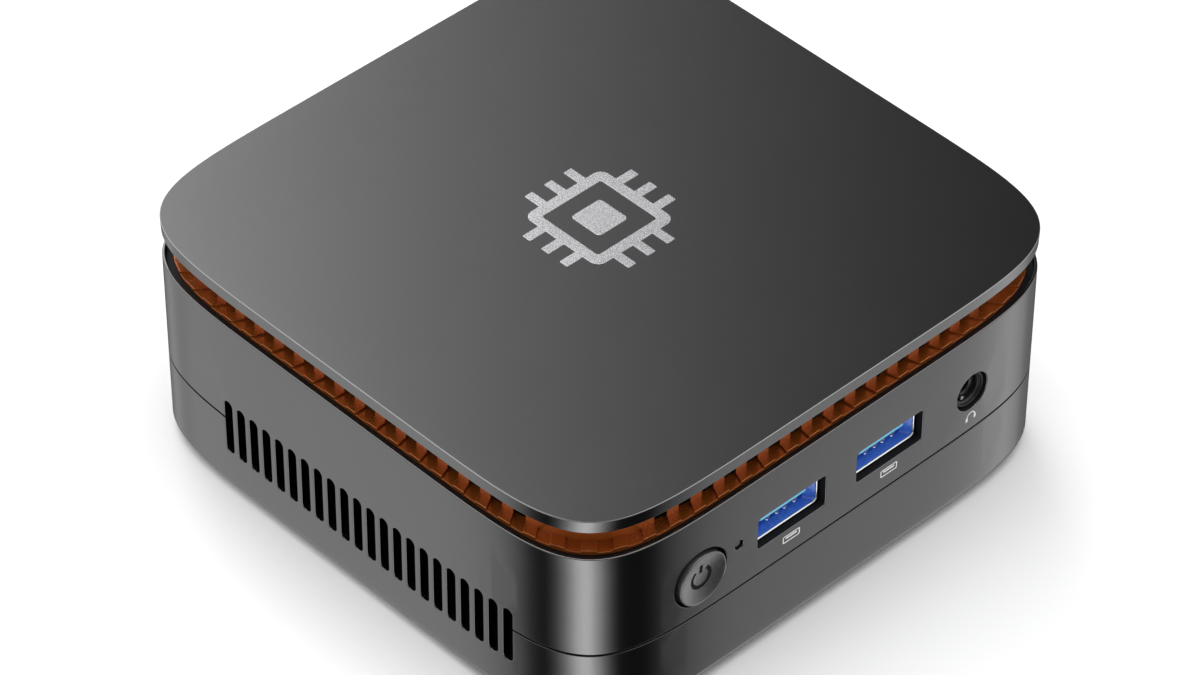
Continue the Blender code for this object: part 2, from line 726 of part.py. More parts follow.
def usb_insert_mesh(flare):
    """The plastic liner of the sleeve: a cup whose closed back carries the tongue."""
    size = (USB_OPENING[0] + 2 * USB_LINER, USB_OPENING[1] + 2 * USB_LINER)
    outer = rounded_rectangle(*size, 0.3 * MM, 2)
    opening = rounded_rectangle(*USB_OPENING, 0.3 * MM, 2)
    start = flare + SLIP
    return stack("usb_insert", [
        (opening, USB_DEPTH - 3 * MM),
        (opening, start),
        (outer, start),
        (outer, USB_DEPTH - 2 * SLIP),
    ], "XZ")


def make_usb_port(case, name, x, mouth_y, facing, mouth, flare):
    """A USB-A receptacle: metal sleeve, plastic liner and tongue. facing is +1 on the front, where
    the sleeve runs towards +Y, and -1 on the rear."""
    turn = (0, 0, 0 if facing > 0 else math.pi)
    place = (x, mouth_y, PORT_Z)
    piece(f"{name}_shell", usb_shell_mesh(mouth, flare), "steel", place, turn, case)
    insert = piece(f"{name}_insert", usb_insert_mesh(flare), "blue_plastic", place, turn, case)
    tip = abs(mouth_y) - SOCKET_TIP
    back = USB_DEPTH - 1.5 * MM
    tongue = block("usb_tongue", (USB_TONGUE[0], back - tip, USB_TONGUE[1]))
    lift = USB_OPENING[1] / 2 - 0.75 * MM - USB_TONGUE[1] / 2
    middle = mouth_y + facing * (tip + back) / 2
    add(insert, f"{name}_tongue", tongue, (x, middle, PORT_Z + lift))


def make_audio_jack(case):
    """The headphone socket: a black body whose collar fills the panel hole, and a metal bush."""
    start = FRONT + 0.9 * MM
    body_start, body_end = 2.6 * MM, 14 * MM
    bore = 2.9 * MM
    profile = [
        (AUDIO_HOLE_RADIUS - 0.35 * MM, 0),
        (AUDIO_HOLE_RADIUS - 0.35 * MM, body_start),
        (5.0 * MM, body_start),
        (5.0 * MM, 4.4 * MM),
        (3.8 * MM, 4.4 * MM),
        (3.8 * MM, body_end),
        (bore, body_end),
        (bore, 0.7 * MM),
        (3.3 * MM, 0.7 * MM),
        (3.3 * MM, 0),
    ]
    jack = turned("audio_jack", profile, "XZ", 24, looped=True)
    piece("audio_jack", jack, "black_plastic", (AUDIO_X, start, AUDIO_Z), parent=case)
    bush = turned("audio_bush", [
        (bore - 0.15 * MM, 1.6 * MM),
        (bore - 0.15 * MM, body_end - MM),
        (1.8 * MM, body_end - MM),
        (1.8 * MM, 1.9 * MM),
        (2.1 * MM, 1.6 * MM),
    ], "XZ", 24, looped=True)
    piece("audio_bush", bush, "steel", (AUDIO_X, start, AUDIO_Z), parent=case)


# ---------------------------------------------------------------- rear panel


def make_dc_jack(case):
    """The power inlet: a round socket with a centre pin. Its mains adapter isn't part of the case."""
    mouth = REAR - 0.9 * MM
    body, bore, depth = 4.1 * MM, 3.1 * MM, 11 * MM
    profile = [
        (body, 0),
        (body, -depth),
        (0.6 * MM, -depth),
        (0.6 * MM, MM - depth),
        (bore, MM - depth),
        (bore, 0),
    ]
    socket = turned("dc_jack", profile, "XZ", 24, looped=True)
    piece("dc_jack", socket, "black_plastic", (DC_X, mouth, DC_Z), parent=case)
    radius, tip, root = 0.9 * MM, SOCKET_TIP - mouth, -9.6 * MM
    pin = turned("dc_pin", [
        (0, tip), (radius, tip - 0.6 * MM), (radius, root), (0, root),
    ], "XZ", ROUND_STEPS)
    piece("dc_pin", pin, "steel", (DC_X, mouth, DC_Z), parent=case)


def make_hdmi_port(case, index, x):
    """A display socket: a metal sleeve with slanted lower corners, and its plastic tongue."""
    width, height = HDMI_OPENING
    depth, sheet = 11.5 * MM, 0.4 * MM
    inner = hdmi_outline(width, height)
    outer = hdmi_outline(width + 2 * sheet, height + 2 * sheet)
    sleeve = stack(f"hdmi_shell_{index}", [
        (outer, 0), (outer, -depth), (inner, -depth), (inner, 0),
    ], "XZ", looped=True)
    place = (x, REAR + REAR_PROUD, PORT_Z)
    piece(f"hdmi_shell_{index}", sleeve, "steel", place, parent=case)
    insert = hdmi_outline(width - 2 * SLIP, height - 2 * SLIP)
    tongue = piece(f"hdmi_tongue_{index}", stack(f"hdmi_tongue_{index}", [
        (insert, 2.5 * MM - depth), (insert, 0.2 * MM - depth),
    ], "XZ"), "black_plastic", place, parent=case)
    root = place[1] - depth + 1.5 * MM
    bar = block("hdmi_bar", (11.2 * MM, SOCKET_TIP - root, 1.3 * MM))
    add(tongue, f"hdmi_bar_{index}", bar, (x, (SOCKET_TIP + root) / 2, PORT_Z + 0.2 * MM))


def make_ethernet_jack(case):
    """The network socket: a metal-shielded block with a stepped opening for the plug and its latch."""
    width, height, depth = 16 * MM, 13.2 * MM, 21 * MM
    mouth = REAR + REAR_PROUD
    body = block("ethernet_jack", (width, depth, height))
    place = (ETHERNET_X, mouth - depth / 2, ETHERNET_Z)
    jack = piece("ethernet_jack", body, "steel", place, parent=case)
    plug_depth = 14 * MM
    plug = block("ethernet_plug_space", (ETHERNET_OPENING[0], 2 * plug_depth, ETHERNET_OPENING[1]))
    cut(jack, "ethernet_plug_space", plug, (ETHERNET_X, mouth, ETHERNET_Z + 0.6 * MM))
    latch = block("ethernet_latch_space", (6 * MM, 2 * plug_depth, 3 * MM))
    cut(jack, "ethernet_latch_space", latch, (ETHERNET_X, mouth, ETHERNET_Z - 4.1 * MM))


# ---------------------------------------------------------------- inside


def make_board(case):
    """The main board with its screws, the processor and the backup cell."""
    loop = chamfered_square(BOARD_SIDE, BOARD_CHAMFER)
    board = piece("main_board", stack("main_board", [(loop, BOARD_BOTTOM), (loop, BOARD_TOP)]),
                  "board_green", parent=case)
    hole = rod("board_hole", SCREW_CLEARANCE_RADIUS, BOARD_BOTTOM - MM, BOARD_TOP + MM)
    cut(board, "board_holes", gathered("board_holes", [
        (hole, (x, y, 0)) for x, y in corners(STANDOFF)
    ]))
    screw = screw_mesh("board_screw", 1.2 * MM, 2.4 * MM, 1.3 * MM, 8 * MM)
    for index, (x, y) in enumerate(corners(STANDOFF), 1):
        place = (x, y, BOARD_TOP + FIT + 1.3 * MM)
        piece(f"board_screw_{index}", screw, "steel", place, parent=case)
    package = block("processor", (24 * MM, 24 * MM, 1.2 * MM))
    piece("processor", package, "black_plastic", (0, 0, BOARD_TOP + FIT + 0.6 * MM), parent=case)
    cell = turned("backup_cell", [
        (0, 0), (9.4 * MM, 0), (10 * MM, 0.6 * MM), (10 * MM, 3.2 * MM), (0, 3.2 * MM),
    ], steps=24)
    piece("backup_cell", cell, "steel", (28 * MM, 42 * MM, BOARD_BOTTOM - FIT - 3.2 * MM), parent=case)


def make_heat_sink(case):
    """A finned block on the processor: the fins' outline is one comb, carried along Y."""
    fins, fin, base = 20, 1.0 * MM, 1.6 * MM
    pitch = (FAN_SIDE - fin) / (fins - 1)
    half = FAN_SIDE / 2
    loop = [(half, 0), (-half, 0)]
    for index in range(fins):
        left = -half + index * pitch
        loop += [(left, SINK_TOP - SINK_BOTTOM), (left + fin, SINK_TOP - SINK_BOTTOM)]
        if index < fins - 1:
            loop += [(left + fin, base), (left + pitch, base)]
    mesh = stack("heat_sink", [(loop, -half), (loop, half)], "XZ")
    piece("heat_sink", mesh, "aluminium", (0, 0, SINK_BOTTOM), parent=case)


def fan_outline():
    """The frame's square, its corners rounded off by a circle about its middle."""
    points = []
    for x, y in circle(1, OUTLINE_STEPS):
        reach = min(FAN_SIDE / 2 / max(abs(x), abs(y)), FAN_CORNER_REACH)
        points.append((x * reach, y * reach))
    return points


def make_fan(case):
    """An axial fan that blows up through the deck: frame, motor coil, rotor and screws."""
    body = fan_outline()
    bore = circle(FAN_BORE_RADIUS, OUTLINE_STEPS)
    frame = piece("fan_frame", stack("fan_frame", [
        (body, FAN_BOTTOM), (body, FAN_TOP), (bore, FAN_TOP), (bore, FAN_BOTTOM),
    ], looped=True), "black_plastic", parent=case)
    width, height, length = 2.4 * MM, 1.0 * MM, 2 * FAN_BORE_RADIUS + 2 * MM
    spoke_place = (0, 0, FAN_BOTTOM + height / 2)
    across = block("fan_spoke_across", (length, width, height))
    along = block("fan_spoke_along", (width, length, 0.9 * height))
    motor_seat = rod("fan_motor_seat", 11 * MM, FAN_BOTTOM, FAN_BOTTOM + 1.2 * MM, steps=24)
    add(frame, "fan_spoke_across", across, spoke_place)
    add(frame, "fan_spoke_along", along, spoke_place)
    add(frame, "fan_motor_seat", motor_seat)
    seat = rod("fan_screw_seat", 2.7 * MM, 36.8 * MM, FAN_TOP + MM)
    hole = rod("fan_screw_hole", 1.4 * MM, FAN_BOTTOM - MM, FAN_TOP)
    for name, mesh in (("fan_screw_seats", seat), ("fan_screw_holes", hole)):
        cut(frame, name, gathered(name, [(mesh, (x, y, 0)) for x, y in corners(FAN_SCREW)]))
    screw = screw_mesh("fan_screw", 1.2 * MM, 2.2 * MM, 1.2 * MM, 6.2 * MM)
    for index, (x, y) in enumerate(corners(FAN_SCREW)[::2], 1):
        piece(f"fan_screw_{index}", screw, "steel", (x, y, 38.3 * MM), parent=case)

    coil = turned("fan_coil", [
        (9 * MM, 33.1 * MM), (9 * MM, 36.6 * MM), (2.2 * MM, 36.6 * MM), (2.2 * MM, 33.1 * MM),
    ], steps=24, looped=True)
    piece("fan_coil", coil, "copper", parent=case)
    axis = axis_empty("fan_axis", (0, 0, FAN_BOTTOM))
    axis.parent = case
    make_rotor(axis)


def make_rotor(axis):
    """Hub cup with a shaft and curved, pitched blades. Its levels are counted from the frame's foot."""
    low, high, skin = 1.7 * MM, 7.5 * MM, 1.2 * MM
    hub = turned("fan_rotor", [
        (HUB_RADIUS, low),
        (HUB_RADIUS, high - 0.6 * MM),
        (HUB_RADIUS - 0.8 * MM, high),
        (0, high),
    ], steps=36)
    rotor = piece("fan_rotor", hub, "black_plastic", parent=axis)
    cavity = turned("hub_cavity", [
        (HUB_RADIUS - skin, low - MM),
        (HUB_RADIUS - skin, high - skin),
        (1.2 * MM, high - skin),
        (1.2 * MM, low - MM),
    ], steps=24, looped=True)
    cut(rotor, "hub_cavity", cavity, (0, 0, FAN_BOTTOM))
    add(rotor, "fan_blades", blades_mesh(low + 0.3 * MM, high - 0.3 * MM), (0, 0, FAN_BOTTOM))


def blades_mesh(low, high):
    """The blades: each a thin plate that sweeps back as it goes out and tilts from foot to top."""
    spans, thickness = 5, 0.9 * MM
    start, sweep, tilt = HUB_RADIUS - 0.5 * MM, 0.5, 0.32
    points, faces = [], []
    for blade in range(BLADE_COUNT):
        first = len(points)
        for step in range(spans + 1):
            share = step / spans
            radius = start + share * (BLADE_TIP_RADIUS - start)
            for level, lean in ((low, -tilt / 2), (high, tilt / 2)):
                for side in (-0.5, 0.5):
                    angle = 2 * math.pi * blade / BLADE_COUNT + sweep * share + lean
                    angle += side * thickness / radius
                    points.append((radius * math.cos(angle), radius * math.sin(angle), level))
        ring = (0, 1, 3, 2)
        for step in range(spans):
            low_row, high_row = first + 4 * step, first + 4 * (step + 1)
            for k in range(4):
                a, b = ring[k], ring[(k + 1) % 4]
                faces.append((low_row + a, low_row + b, high_row + b, high_row + a))
        faces.append(tuple(first + k for k in ring))
        faces.append(tuple(first + 4 * spans + k for k in ring))
    return finished_mesh("fan_blades", points, faces)


def make_cards(case):
    """Under the board: the memory and the drive in their sockets, and a soldered radio module."""
    socket_top = BOARD_BOTTOM - FIT
    card_z = socket_top - 3.4 * MM
    slot_depth = 3 * MM
    socket_depth, socket_height = 6 * MM, 4.4 * MM
    cards = (
        ("memory", (-6 * MM, 26 * MM), -1, 70 * MM, (67.6 * MM, 30 * MM, 1.2 * MM)),
        ("drive", (-28 * MM, -48 * MM), 1, 24 * MM, (22 * MM, 42 * MM, 1.4 * MM)),
    )
    for name, (x, y), facing, socket_width, card_size in cards:
        socket_size = (socket_width, socket_depth, socket_height)
        socket = piece(f"{name}_socket", block(f"{name}_socket", socket_size), "black_plastic",
                       (x, y, socket_top - socket_height / 2), parent=case)
        mouth = y + facing * socket_depth / 2
        slot = block(f"{name}_slot", (card_size[0] + 2 * FIT, 2 * slot_depth, card_size[2] + 2 * FIT))
        cut(socket, f"{name}_slot", slot, (x, mouth, card_z))
        start = mouth - facing * (slot_depth - FIT)
        place = (x, start + facing * card_size[1] / 2, card_z)
        piece(f"{name}_card", block(f"{name}_card", card_size), "board_green", place, parent=case)
    radio = block("radio_module", (22 * MM, 30 * MM, 2.2 * MM))
    piece("radio_module", radio, "steel", (28 * MM, -30 * MM, socket_top - 1.1 * MM), parent=case)


def make_cables(case):
    """The fan's lead and the radio card's aerial lead, clipped along their whole way, and the aerial."""
    routes = {
        "fan_lead": (1.4 * MM, "black_plastic", [
            (-30.6 * MM, 12 * MM, 34.0 * MM), (-34 * MM, 14 * MM, 33.0 * MM),
            (-38 * MM, 20 * MM, 28.0 * MM), (-41 * MM, 26 * MM, 25.6 * MM),
            (-42 * MM, 32 * MM, 25.2 * MM),
        ]),
        "aerial_lead": (1.2 * MM, "black_plastic", [
            (41.9 * MM, -36 * MM, 18.5 * MM), (48 * MM, -34 * MM, 15.5 * MM),
            (54 * MM, -25 * MM, 13.0 * MM), (55.5 * MM, -8 * MM, 11.5 * MM),
            (55.5 * MM, 12 * MM, 11.5 * MM), (55.5 * MM, 30 * MM, 12.0 * MM),
            (54.5 * MM, 40 * MM, 12.5 * MM), (49 * MM, 49.5 * MM, 12.0 * MM),
            (40 * MM, 56 * MM, 11.5 * MM),
        ]),
    }
    for name, (diameter, finish, points) in routes.items():
        curve = bpy.data.curves.new(name, "CURVE")
        curve.dimensions = "3D"
        curve.bevel_depth = diameter / 2
        curve.bevel_resolution = 1
        curve.use_fill_caps = True
        route = smooth_route(points, 4)
        spline = curve.splines.new("POLY")
        spline.points.add(len(route) - 1)
        for point, place in zip(spline.points, route):
            point.co = (*place, 1)
        curve.materials.append(material(finish))
        cable = bpy.data.objects.new(name, curve)
        cable.parent = case
        bpy.context.scene.collection.objects.link(cable)
    aerial = block("aerial", (34 * MM, 0.4 * MM, 8 * MM))
    piece("aerial", aerial, "copper", (20 * MM, 60.9 * MM, 11.5 * MM), parent=case)


def main():
    clear_scene()
    case = axis_empty("case")
    make_lower_shell(case)
    make_feet_and_base_screws(case)
    make_upper_shell(case)
    make_vent_ring(case)
    make_top_plate(case)
    make_emblem(case)
    make_power_button(case)
    make_status_light(case)
    front_mouth = FRONT + WALL + 0.1 * MM
    for index, x in enumerate((-USB_X, USB_X), 1):
        make_usb_port(case, f"front_usb_{index}", x, front_mouth, 1, USB_MOUTH, 1.4 * MM)
    make_audio_jack(case)
    make_dc_jack(case)
    for index, x in enumerate(HDMI_XS, 1):
        make_hdmi_port(case, index, x)
    make_ethernet_jack(case)
    rear_mouth = (14.1 * MM, 6.7 * MM)
    for index, x in enumerate(REAR_USB_XS, 1):
        rear_y = REAR + REAR_PROUD - 1.2 * MM
        make_usb_port(case, f"rear_usb_{index}", x, rear_y, -1, rear_mouth, 0.6 * MM)
    make_board(case)
    make_heat_sink(case)
    make_fan(case)
    make_cards(case)
    make_cables(case)


main()
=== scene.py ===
"""Looks of a palm-sized desktop computer: a dark metallic case with side vents, a satin metal plate
on a copper-coloured vent ring, a dished power button, blue USB ports and a headphone jack.

Shapes are surfaces worked out with numpy: outlines carried along the case's soft-cornered square,
profiles turned round an axis, and flat sheets with openings bent onto the walls.
"""

import json
import math

import bmesh
import bpy
import numpy as np
from bpy.props import FloatProperty, FloatVectorProperty, IntProperty, PointerProperty
from mathutils import Matrix, Vector
from mathutils.geometry import delaunay_2d_cdt

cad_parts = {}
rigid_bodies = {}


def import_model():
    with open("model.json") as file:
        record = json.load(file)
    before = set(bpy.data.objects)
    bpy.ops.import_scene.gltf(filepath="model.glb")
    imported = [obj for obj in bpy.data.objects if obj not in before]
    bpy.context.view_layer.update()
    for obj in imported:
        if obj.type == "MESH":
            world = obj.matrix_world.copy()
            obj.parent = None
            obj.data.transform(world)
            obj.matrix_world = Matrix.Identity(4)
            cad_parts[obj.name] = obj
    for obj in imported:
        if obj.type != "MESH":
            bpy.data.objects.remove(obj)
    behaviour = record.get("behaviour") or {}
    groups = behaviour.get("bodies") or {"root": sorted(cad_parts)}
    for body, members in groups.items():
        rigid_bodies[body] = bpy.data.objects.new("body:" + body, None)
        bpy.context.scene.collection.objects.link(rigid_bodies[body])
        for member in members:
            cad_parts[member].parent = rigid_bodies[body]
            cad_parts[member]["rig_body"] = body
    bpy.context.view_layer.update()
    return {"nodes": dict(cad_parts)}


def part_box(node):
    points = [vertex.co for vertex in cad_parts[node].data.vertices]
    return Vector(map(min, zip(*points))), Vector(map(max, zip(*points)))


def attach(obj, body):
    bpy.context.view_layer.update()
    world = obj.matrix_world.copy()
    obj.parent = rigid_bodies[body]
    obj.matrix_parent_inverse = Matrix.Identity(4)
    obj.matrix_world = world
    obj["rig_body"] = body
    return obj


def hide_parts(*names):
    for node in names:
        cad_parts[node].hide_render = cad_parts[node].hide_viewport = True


bl_info = {
    "name": "Palm-sized desktop computer",
    "version": (1, 0, 0),
    "blender": (4, 5, 0),
    "location": "3D View > Sidebar > Mini PC",
    "description": "Builds the fine surfaces and the finishes of a small desktop computer",
    "category": "Object",
}

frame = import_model()

MM = 0.001
CORNER_POWER = 7
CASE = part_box("upper_shell")
SIDE = CASE[1].x - CASE[0].x
HALF = SIDE / 2
RIM = CASE[1].z
BUTTON_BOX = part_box("power_button")
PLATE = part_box("top_plate")
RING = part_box("vent_ring")
FLOOR_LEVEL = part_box("lower_shell")[0].z
DECK = 40 * MM, 41.4 * MM
COLUMN_REACH = 52.4 * MM
STAND_REACH = 46 * MM
BOSS_REACH = 40 * MM
FOOT_REACH = 43 * MM
CORNERS = [np.array((x, y)) for x in (-1, 1) for y in (-1, 1)]
BODY_OF = {name: thing["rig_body"] for name, thing in frame["nodes"].items()}


def middle(node):
    """The middle of a node's box."""
    low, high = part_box(node)
    return (low + high) / 2


# ---------------------------------------------------------------- outlines and profiles


class Outline:
    """The soft-cornered square |x|^7 + |y|^7 = (side / 2)^7, measured by the way travelled along it
    from its rear left corner: down the left side, along the front, up the right side and back."""

    def __init__(self, side):
        self.half = side / 2
        corner = 0.5 ** (1 / CORNER_POWER)
        along = np.linspace(-corner, corner, 1025)
        out = (1 - np.abs(along) ** CORNER_POWER) ** (1 / CORNER_POWER)
        sides = [(-out, -along), (along, -out), (out, along), (-along, out)]
        joined = [np.stack(pair, -1)[:-1] for pair in sides]
        self.points = np.vstack(joined + [joined[0][:1]]) * self.half
        steps = np.hypot(*np.diff(self.points, axis=0).T)
        self.travel = np.concatenate([[0], np.cumsum(steps)])
        self.length = self.travel[-1]

    def at(self, travel, depth=0.0, height=0.0):
        """Points a way along the outline, at a height, and a depth inwards square to it."""
        travel, depth, height = np.broadcast_arrays(travel, depth, height)
        flat = np.stack([np.interp(travel, self.travel, self.points[:, k]) for k in (0, 1)], -1)
        outward = np.sign(flat) * np.abs(flat / self.half) ** (CORNER_POWER - 1)
        outward /= np.linalg.norm(outward, axis=-1, keepdims=True)
        flat = flat - depth[..., None] * outward
        return np.concatenate([flat, height[..., None]], -1)

    def scaled(self, travel, inset, height):
        """Points a way along the outline, drawn towards the middle in proportion."""
        points = self.at(travel, 0.0, height)
        points[..., :2] *= (1 - np.asarray(inset) / self.half)[..., None]
        return points

    def station(self, side, value):
        """The way along at which the outline passes an x (front, rear) or a y (left, right)."""
        quarter = ("left", "front", "right", "rear").index(side)
        span = slice(1024 * quarter, 1024 * (quarter + 1) + 1)
        values = self.points[span, 1 - quarter % 2]
        order = 1 if values[-1] > values[0] else -1
        return np.interp(value, values[::order], self.travel[span][::order])

    def stations(self, count):
        """Equally spaced ways along, the last one back at the start."""
        return np.linspace(0, self.length, count + 1)


CASE_LINE = Outline(SIDE)
GRID = CASE_LINE.stations(480)


def rounded(corners, closed=False, steps=4):
    """A line through (u, v, radius) corners, where an arc of each radius replaces its corner."""
    points = np.array([corner[:2] for corner in corners], float)
    made = []
    for k, (u, v, radius) in enumerate(corners):
        here = points[k]
        if radius == 0 or (not closed and k in (0, len(corners) - 1)):
            made.append(here[None])
            continue
        back = points[k - 1] - here
        ahead = points[(k + 1) % len(points)] - here
        back /= np.linalg.norm(back)
        ahead /= np.linalg.norm(ahead)
        half_angle = math.acos(float(np.clip(back @ ahead, -1, 1))) / 2
        bisector = (back + ahead) / np.linalg.norm(back + ahead)
        centre = here + bisector * radius / math.sin(half_angle)
        reach = radius / math.tan(half_angle)
        start, end = here + back * reach - centre, here + ahead * reach - centre
        first = math.atan2(start[1], start[0])
        turn = (math.atan2(end[1], end[0]) - first + math.pi) % (2 * math.pi) - math.pi
        angles = first + turn * np.linspace(0, 1, steps + 1)
        made.append(centre + radius * np.stack([np.cos(angles), np.sin(angles)], -1))
    return np.vstack(made)


def drawn(corners, closed=False, steps=4):
    """A rounded line whose corners are given in millimetres."""
    return rounded(np.array(corners) * MM, closed, steps)


def soft_rectangle(width, height, radius, steps=6):
    """A rectangle round the origin, anticlockwise, with quarter-circle corners."""
    w, h = width / 2, height / 2
    corners = [(w, -h, radius), (w, h, radius), (-w, h, radius), (-w, -h, radius)]
    return rounded(corners, closed=True, steps=steps)


def circle(radius, steps):
    """Points round a circle, anticlockwise."""
    turn = 2 * np.pi * np.arange(steps) / steps
    return radius * np.stack([np.cos(turn), np.sin(turn)], -1)


def out_of(loop):
    """The direction out of a closed anticlockwise line at each of its points: square to the chord
    between the two neighbours."""
    chord = np.roll(loop, -1, 0) - np.roll(loop, 1, 0)
    out = np.stack([chord[:, 1], -chord[:, 0]], -1)
    return out / np.linalg.norm(out, axis=1, keepdims=True)


# ---------------------------------------------------------------- surfaces


def lattice(points, around=False):
    """A surface over a grid of points: two triangles between each four neighbours."""
    rows, columns = points.shape[:2]
    index = np.arange(rows * columns).reshape(rows, columns)
    if around:
        index = np.hstack([index, index[:, :1]])
    a, b, c, d = index[:-1, :-1], index[:-1, 1:], index[1:, 1:], index[1:, :-1]
    return points.reshape(-1, 3), np.stack([a, b, c, a, c, d], -1).reshape(-1, 3)


def inside(points, starts, ends):
    """Whether each point is inside the lines: a ray to one side crosses them an odd number of times."""
    found = np.zeros(len(points), bool)
    for part in np.array_split(np.arange(len(points)), max(1, len(points) // 800)):
        x, y = points[part, 0, None], points[part, 1, None]
        straddles = (starts[:, 1] > y) != (ends[:, 1] > y)
        rise = ends[:, 1] - starts[:, 1]
        share = (y - starts[:, 1]) / np.where(rise == 0, 1, rise)
        crossing = starts[:, 0] + share * (ends[:, 0] - starts[:, 0])
        found[part] = (straddles & (x < crossing)).sum(1) % 2 == 1
    return found


def rows_between(all_round, corners):
    """Rows of free points at these heights, all round the case or at its corners only. They keep a
    sheet smooth where it bends."""
    ways = GRID[1:-1]
    bent = ways[np.abs(CASE_LINE.at(ways, 0, 0)[:, :2]).min(1) > 44 * MM]
    rows = [(ways, z) for z in all_round] + [(bent, z) for z in corners]
    return np.vstack([np.column_stack([way, 0 * way + z * MM]) for way, z in rows])


def filled(loops, bend, free=None):
    """A flat sheet inside the first loop and outside the others, cut into triangles, and bent into
    place by a function of its two flat coordinates."""
    counts = [len(loop) for loop in loops]
    first = np.cumsum([0] + counts[:-1])
    edges = np.vstack([
        np.stack([start + np.arange(n), start + (np.arange(n) + 1) % n], -1)
        for start, n in zip(first, counts)
    ])
    flat = np.vstack(list(loops) + ([] if free is None else [free]))
    scaled = flat / MM
    made = delaunay_2d_cdt([Vector(p) for p in scaled], edges.tolist(), [], 0, 1e-5)
    source = np.array([origin[0] for origin in made[3]])
    triangles = source[np.array(made[2])]
    centres = flat[triangles].mean(1)
    kept = triangles[inside(centres, flat[edges[:, 0]], flat[edges[:, 1]])]
    return bend(flat), kept


def edged(loop, out, bend, rounding, depths, around=True):
    """The wall of an opening: a quarter round from the sheet into it, then straight to each depth.
    At angle a the line stands rounding (1 - sin a) off the opening and rounding (1 - cos a) deep."""
    turn = np.radians([0, 22.5, 45, 67.5, 90])
    offsets = rounding * np.concatenate([1 - np.sin(turn), np.zeros(len(depths))])
    levels = np.concatenate([rounding * (1 - np.cos(turn)), depths])
    rows = [bend(loop - offset * out, level) for offset, level in zip(offsets, levels)]
    return lattice(np.stack(rows), around)


def turned(profile, axis_point, axis="Z", steps=64, flip=1):
    """A profile of (radius, distance along the axis) carried round the axis."""
    turn = 2 * np.pi * np.arange(steps) / steps
    radius, level = np.asarray(profile)[:, 0, None], np.asarray(profile)[:, 1, None]
    first, second = radius * np.cos(turn), radius * np.sin(turn)
    along = flip * level + 0 * turn
    order = {"Z": (first, second, along), "Y": (first, along, second)}[axis]
    return lattice(np.stack(order, -1) + np.array(axis_point), around=True)


def post(radius, low, high):
    """The profile of a plain round post between two heights."""
    return [(0, low), (radius, low), (radius, high), (0, high)]


def at_corners(profile, reach, steps, number):
    """A profile turned round the same place in each corner, with a material's number."""
    return [(*turned(profile, (*corner * reach, 0), steps=steps), number) for corner in CORNERS]


def on_level(flat, height):
    """Flat points, or ways along, with one height added."""
    return np.column_stack([flat, np.full(len(flat), height)])


def swept(outlines, axis="Y", ends=True):
    """A skin over (flat closed line, level) pairs, closed by a fan at each end if wanted."""
    rows = []
    for line, level in outlines:
        level = np.full(len(line), level)
        order = {"Y": (line[:, 0], level, line[:, 1]), "Z": (line[:, 0], line[:, 1], level)}[axis]
        rows.append(np.stack(order, -1))
    if ends:
        rows = [rows[0] * 0 + rows[0].mean(0)] + rows + [rows[-1] * 0 + rows[-1].mean(0)]
    return lattice(np.stack(rows), around=True)


def along_case(profile):
    """A profile of (depth, height) carried along the case's outline."""
    profile = np.asarray(profile)
    return lattice(CASE_LINE.at(GRID[None], profile[:, 0, None], profile[:, 1, None]))


def soft_box(low, high, rounding, steps=2):
    """A box with rounded edges: a soft rectangle that draws in over its rounding at both ends."""
    low, high = np.array(low), np.array(high)
    size, centre = high - low, (high + low) / 2
    turn = np.linspace(0, np.pi / 2, steps + 1)
    draw = rounding * (1 - np.sin(turn))
    rise = rounding * (1 - np.cos(turn))
    rows = []
    for inset, level in zip(draw, rise):
        line = soft_rectangle(size[0] - 2 * inset, size[1] - 2 * inset, rounding - 0.9 * inset, steps)
        rows.append((line, low[2] + level))
    rows += [(line, high[2] + low[2] - level) for line, level in reversed(rows)]
    points, faces = swept(rows, "Z")
    return points + np.array([centre[0], centre[1], 0]), faces


def tube(route, radius, sides=12):
    """A round bar along a route: circles square to its direction, with a closed end at each side."""
    route = np.asarray(route, float)
    ahead = np.gradient(route, axis=0)
    ahead /= np.linalg.norm(ahead, axis=1, keepdims=True)
    up = np.where(np.abs(ahead[:, 2:]) > 0.9, np.array([[1.0, 0, 0]]), np.array([[0, 0, 1.0]]))
    across = np.cross(ahead, up)
    across /= np.linalg.norm(across, axis=1, keepdims=True)
    lift = np.cross(across, ahead)
    turn = 2 * np.pi * np.arange(sides) / sides
    ring = np.cos(turn)[None, :, None] * across[:, None] + np.sin(turn)[None, :, None] * lift[:, None]
    rows = route[:, None] + radius * ring
    rows = np.concatenate([0 * rows[:1] + route[0], rows, 0 * rows[:1] + route[-1]])
    return lattice(rows, around=True)


def corner_normals(points, faces, crease):
    """A direction for each face's corner: the sum of the cross products of the faces round that
    vertex, leaving out those that meet this face at more than the crease angle."""
    sides = points[faces]
    cross = np.cross(sides[:, 1] - sides[:, 0], sides[:, 2] - sides[:, 0])
    unit = cross / np.maximum(np.linalg.norm(cross, axis=1, keepdims=True), 1e-20)
    vertex, face = faces.reshape(-1), np.repeat(np.arange(len(faces)), 3)
    order = np.argsort(vertex, kind="stable")
    sorted_vertex = vertex[order]
    start = np.searchsorted(sorted_vertex, sorted_vertex, "left")
    count = np.searchsorted(sorted_vertex, sorted_vertex, "right") - start
    place = np.arange(len(order)) - start
    total = np.zeros((len(order), 3))
    for step in range(int(count.max())):
        active = np.nonzero(step < count)[0]
        other = start[active] + (place[active] + step) % count[active]
        mine, theirs = face[order[active]], face[order[other]]
        near = (unit[mine] * unit[theirs]).sum(1) > math.cos(crease)
        total[active[near]] += cross[theirs[near]]
    result = np.empty_like(total)
    result[order] = total / np.maximum(np.linalg.norm(total, axis=1, keepdims=True), 1e-20)
    return result


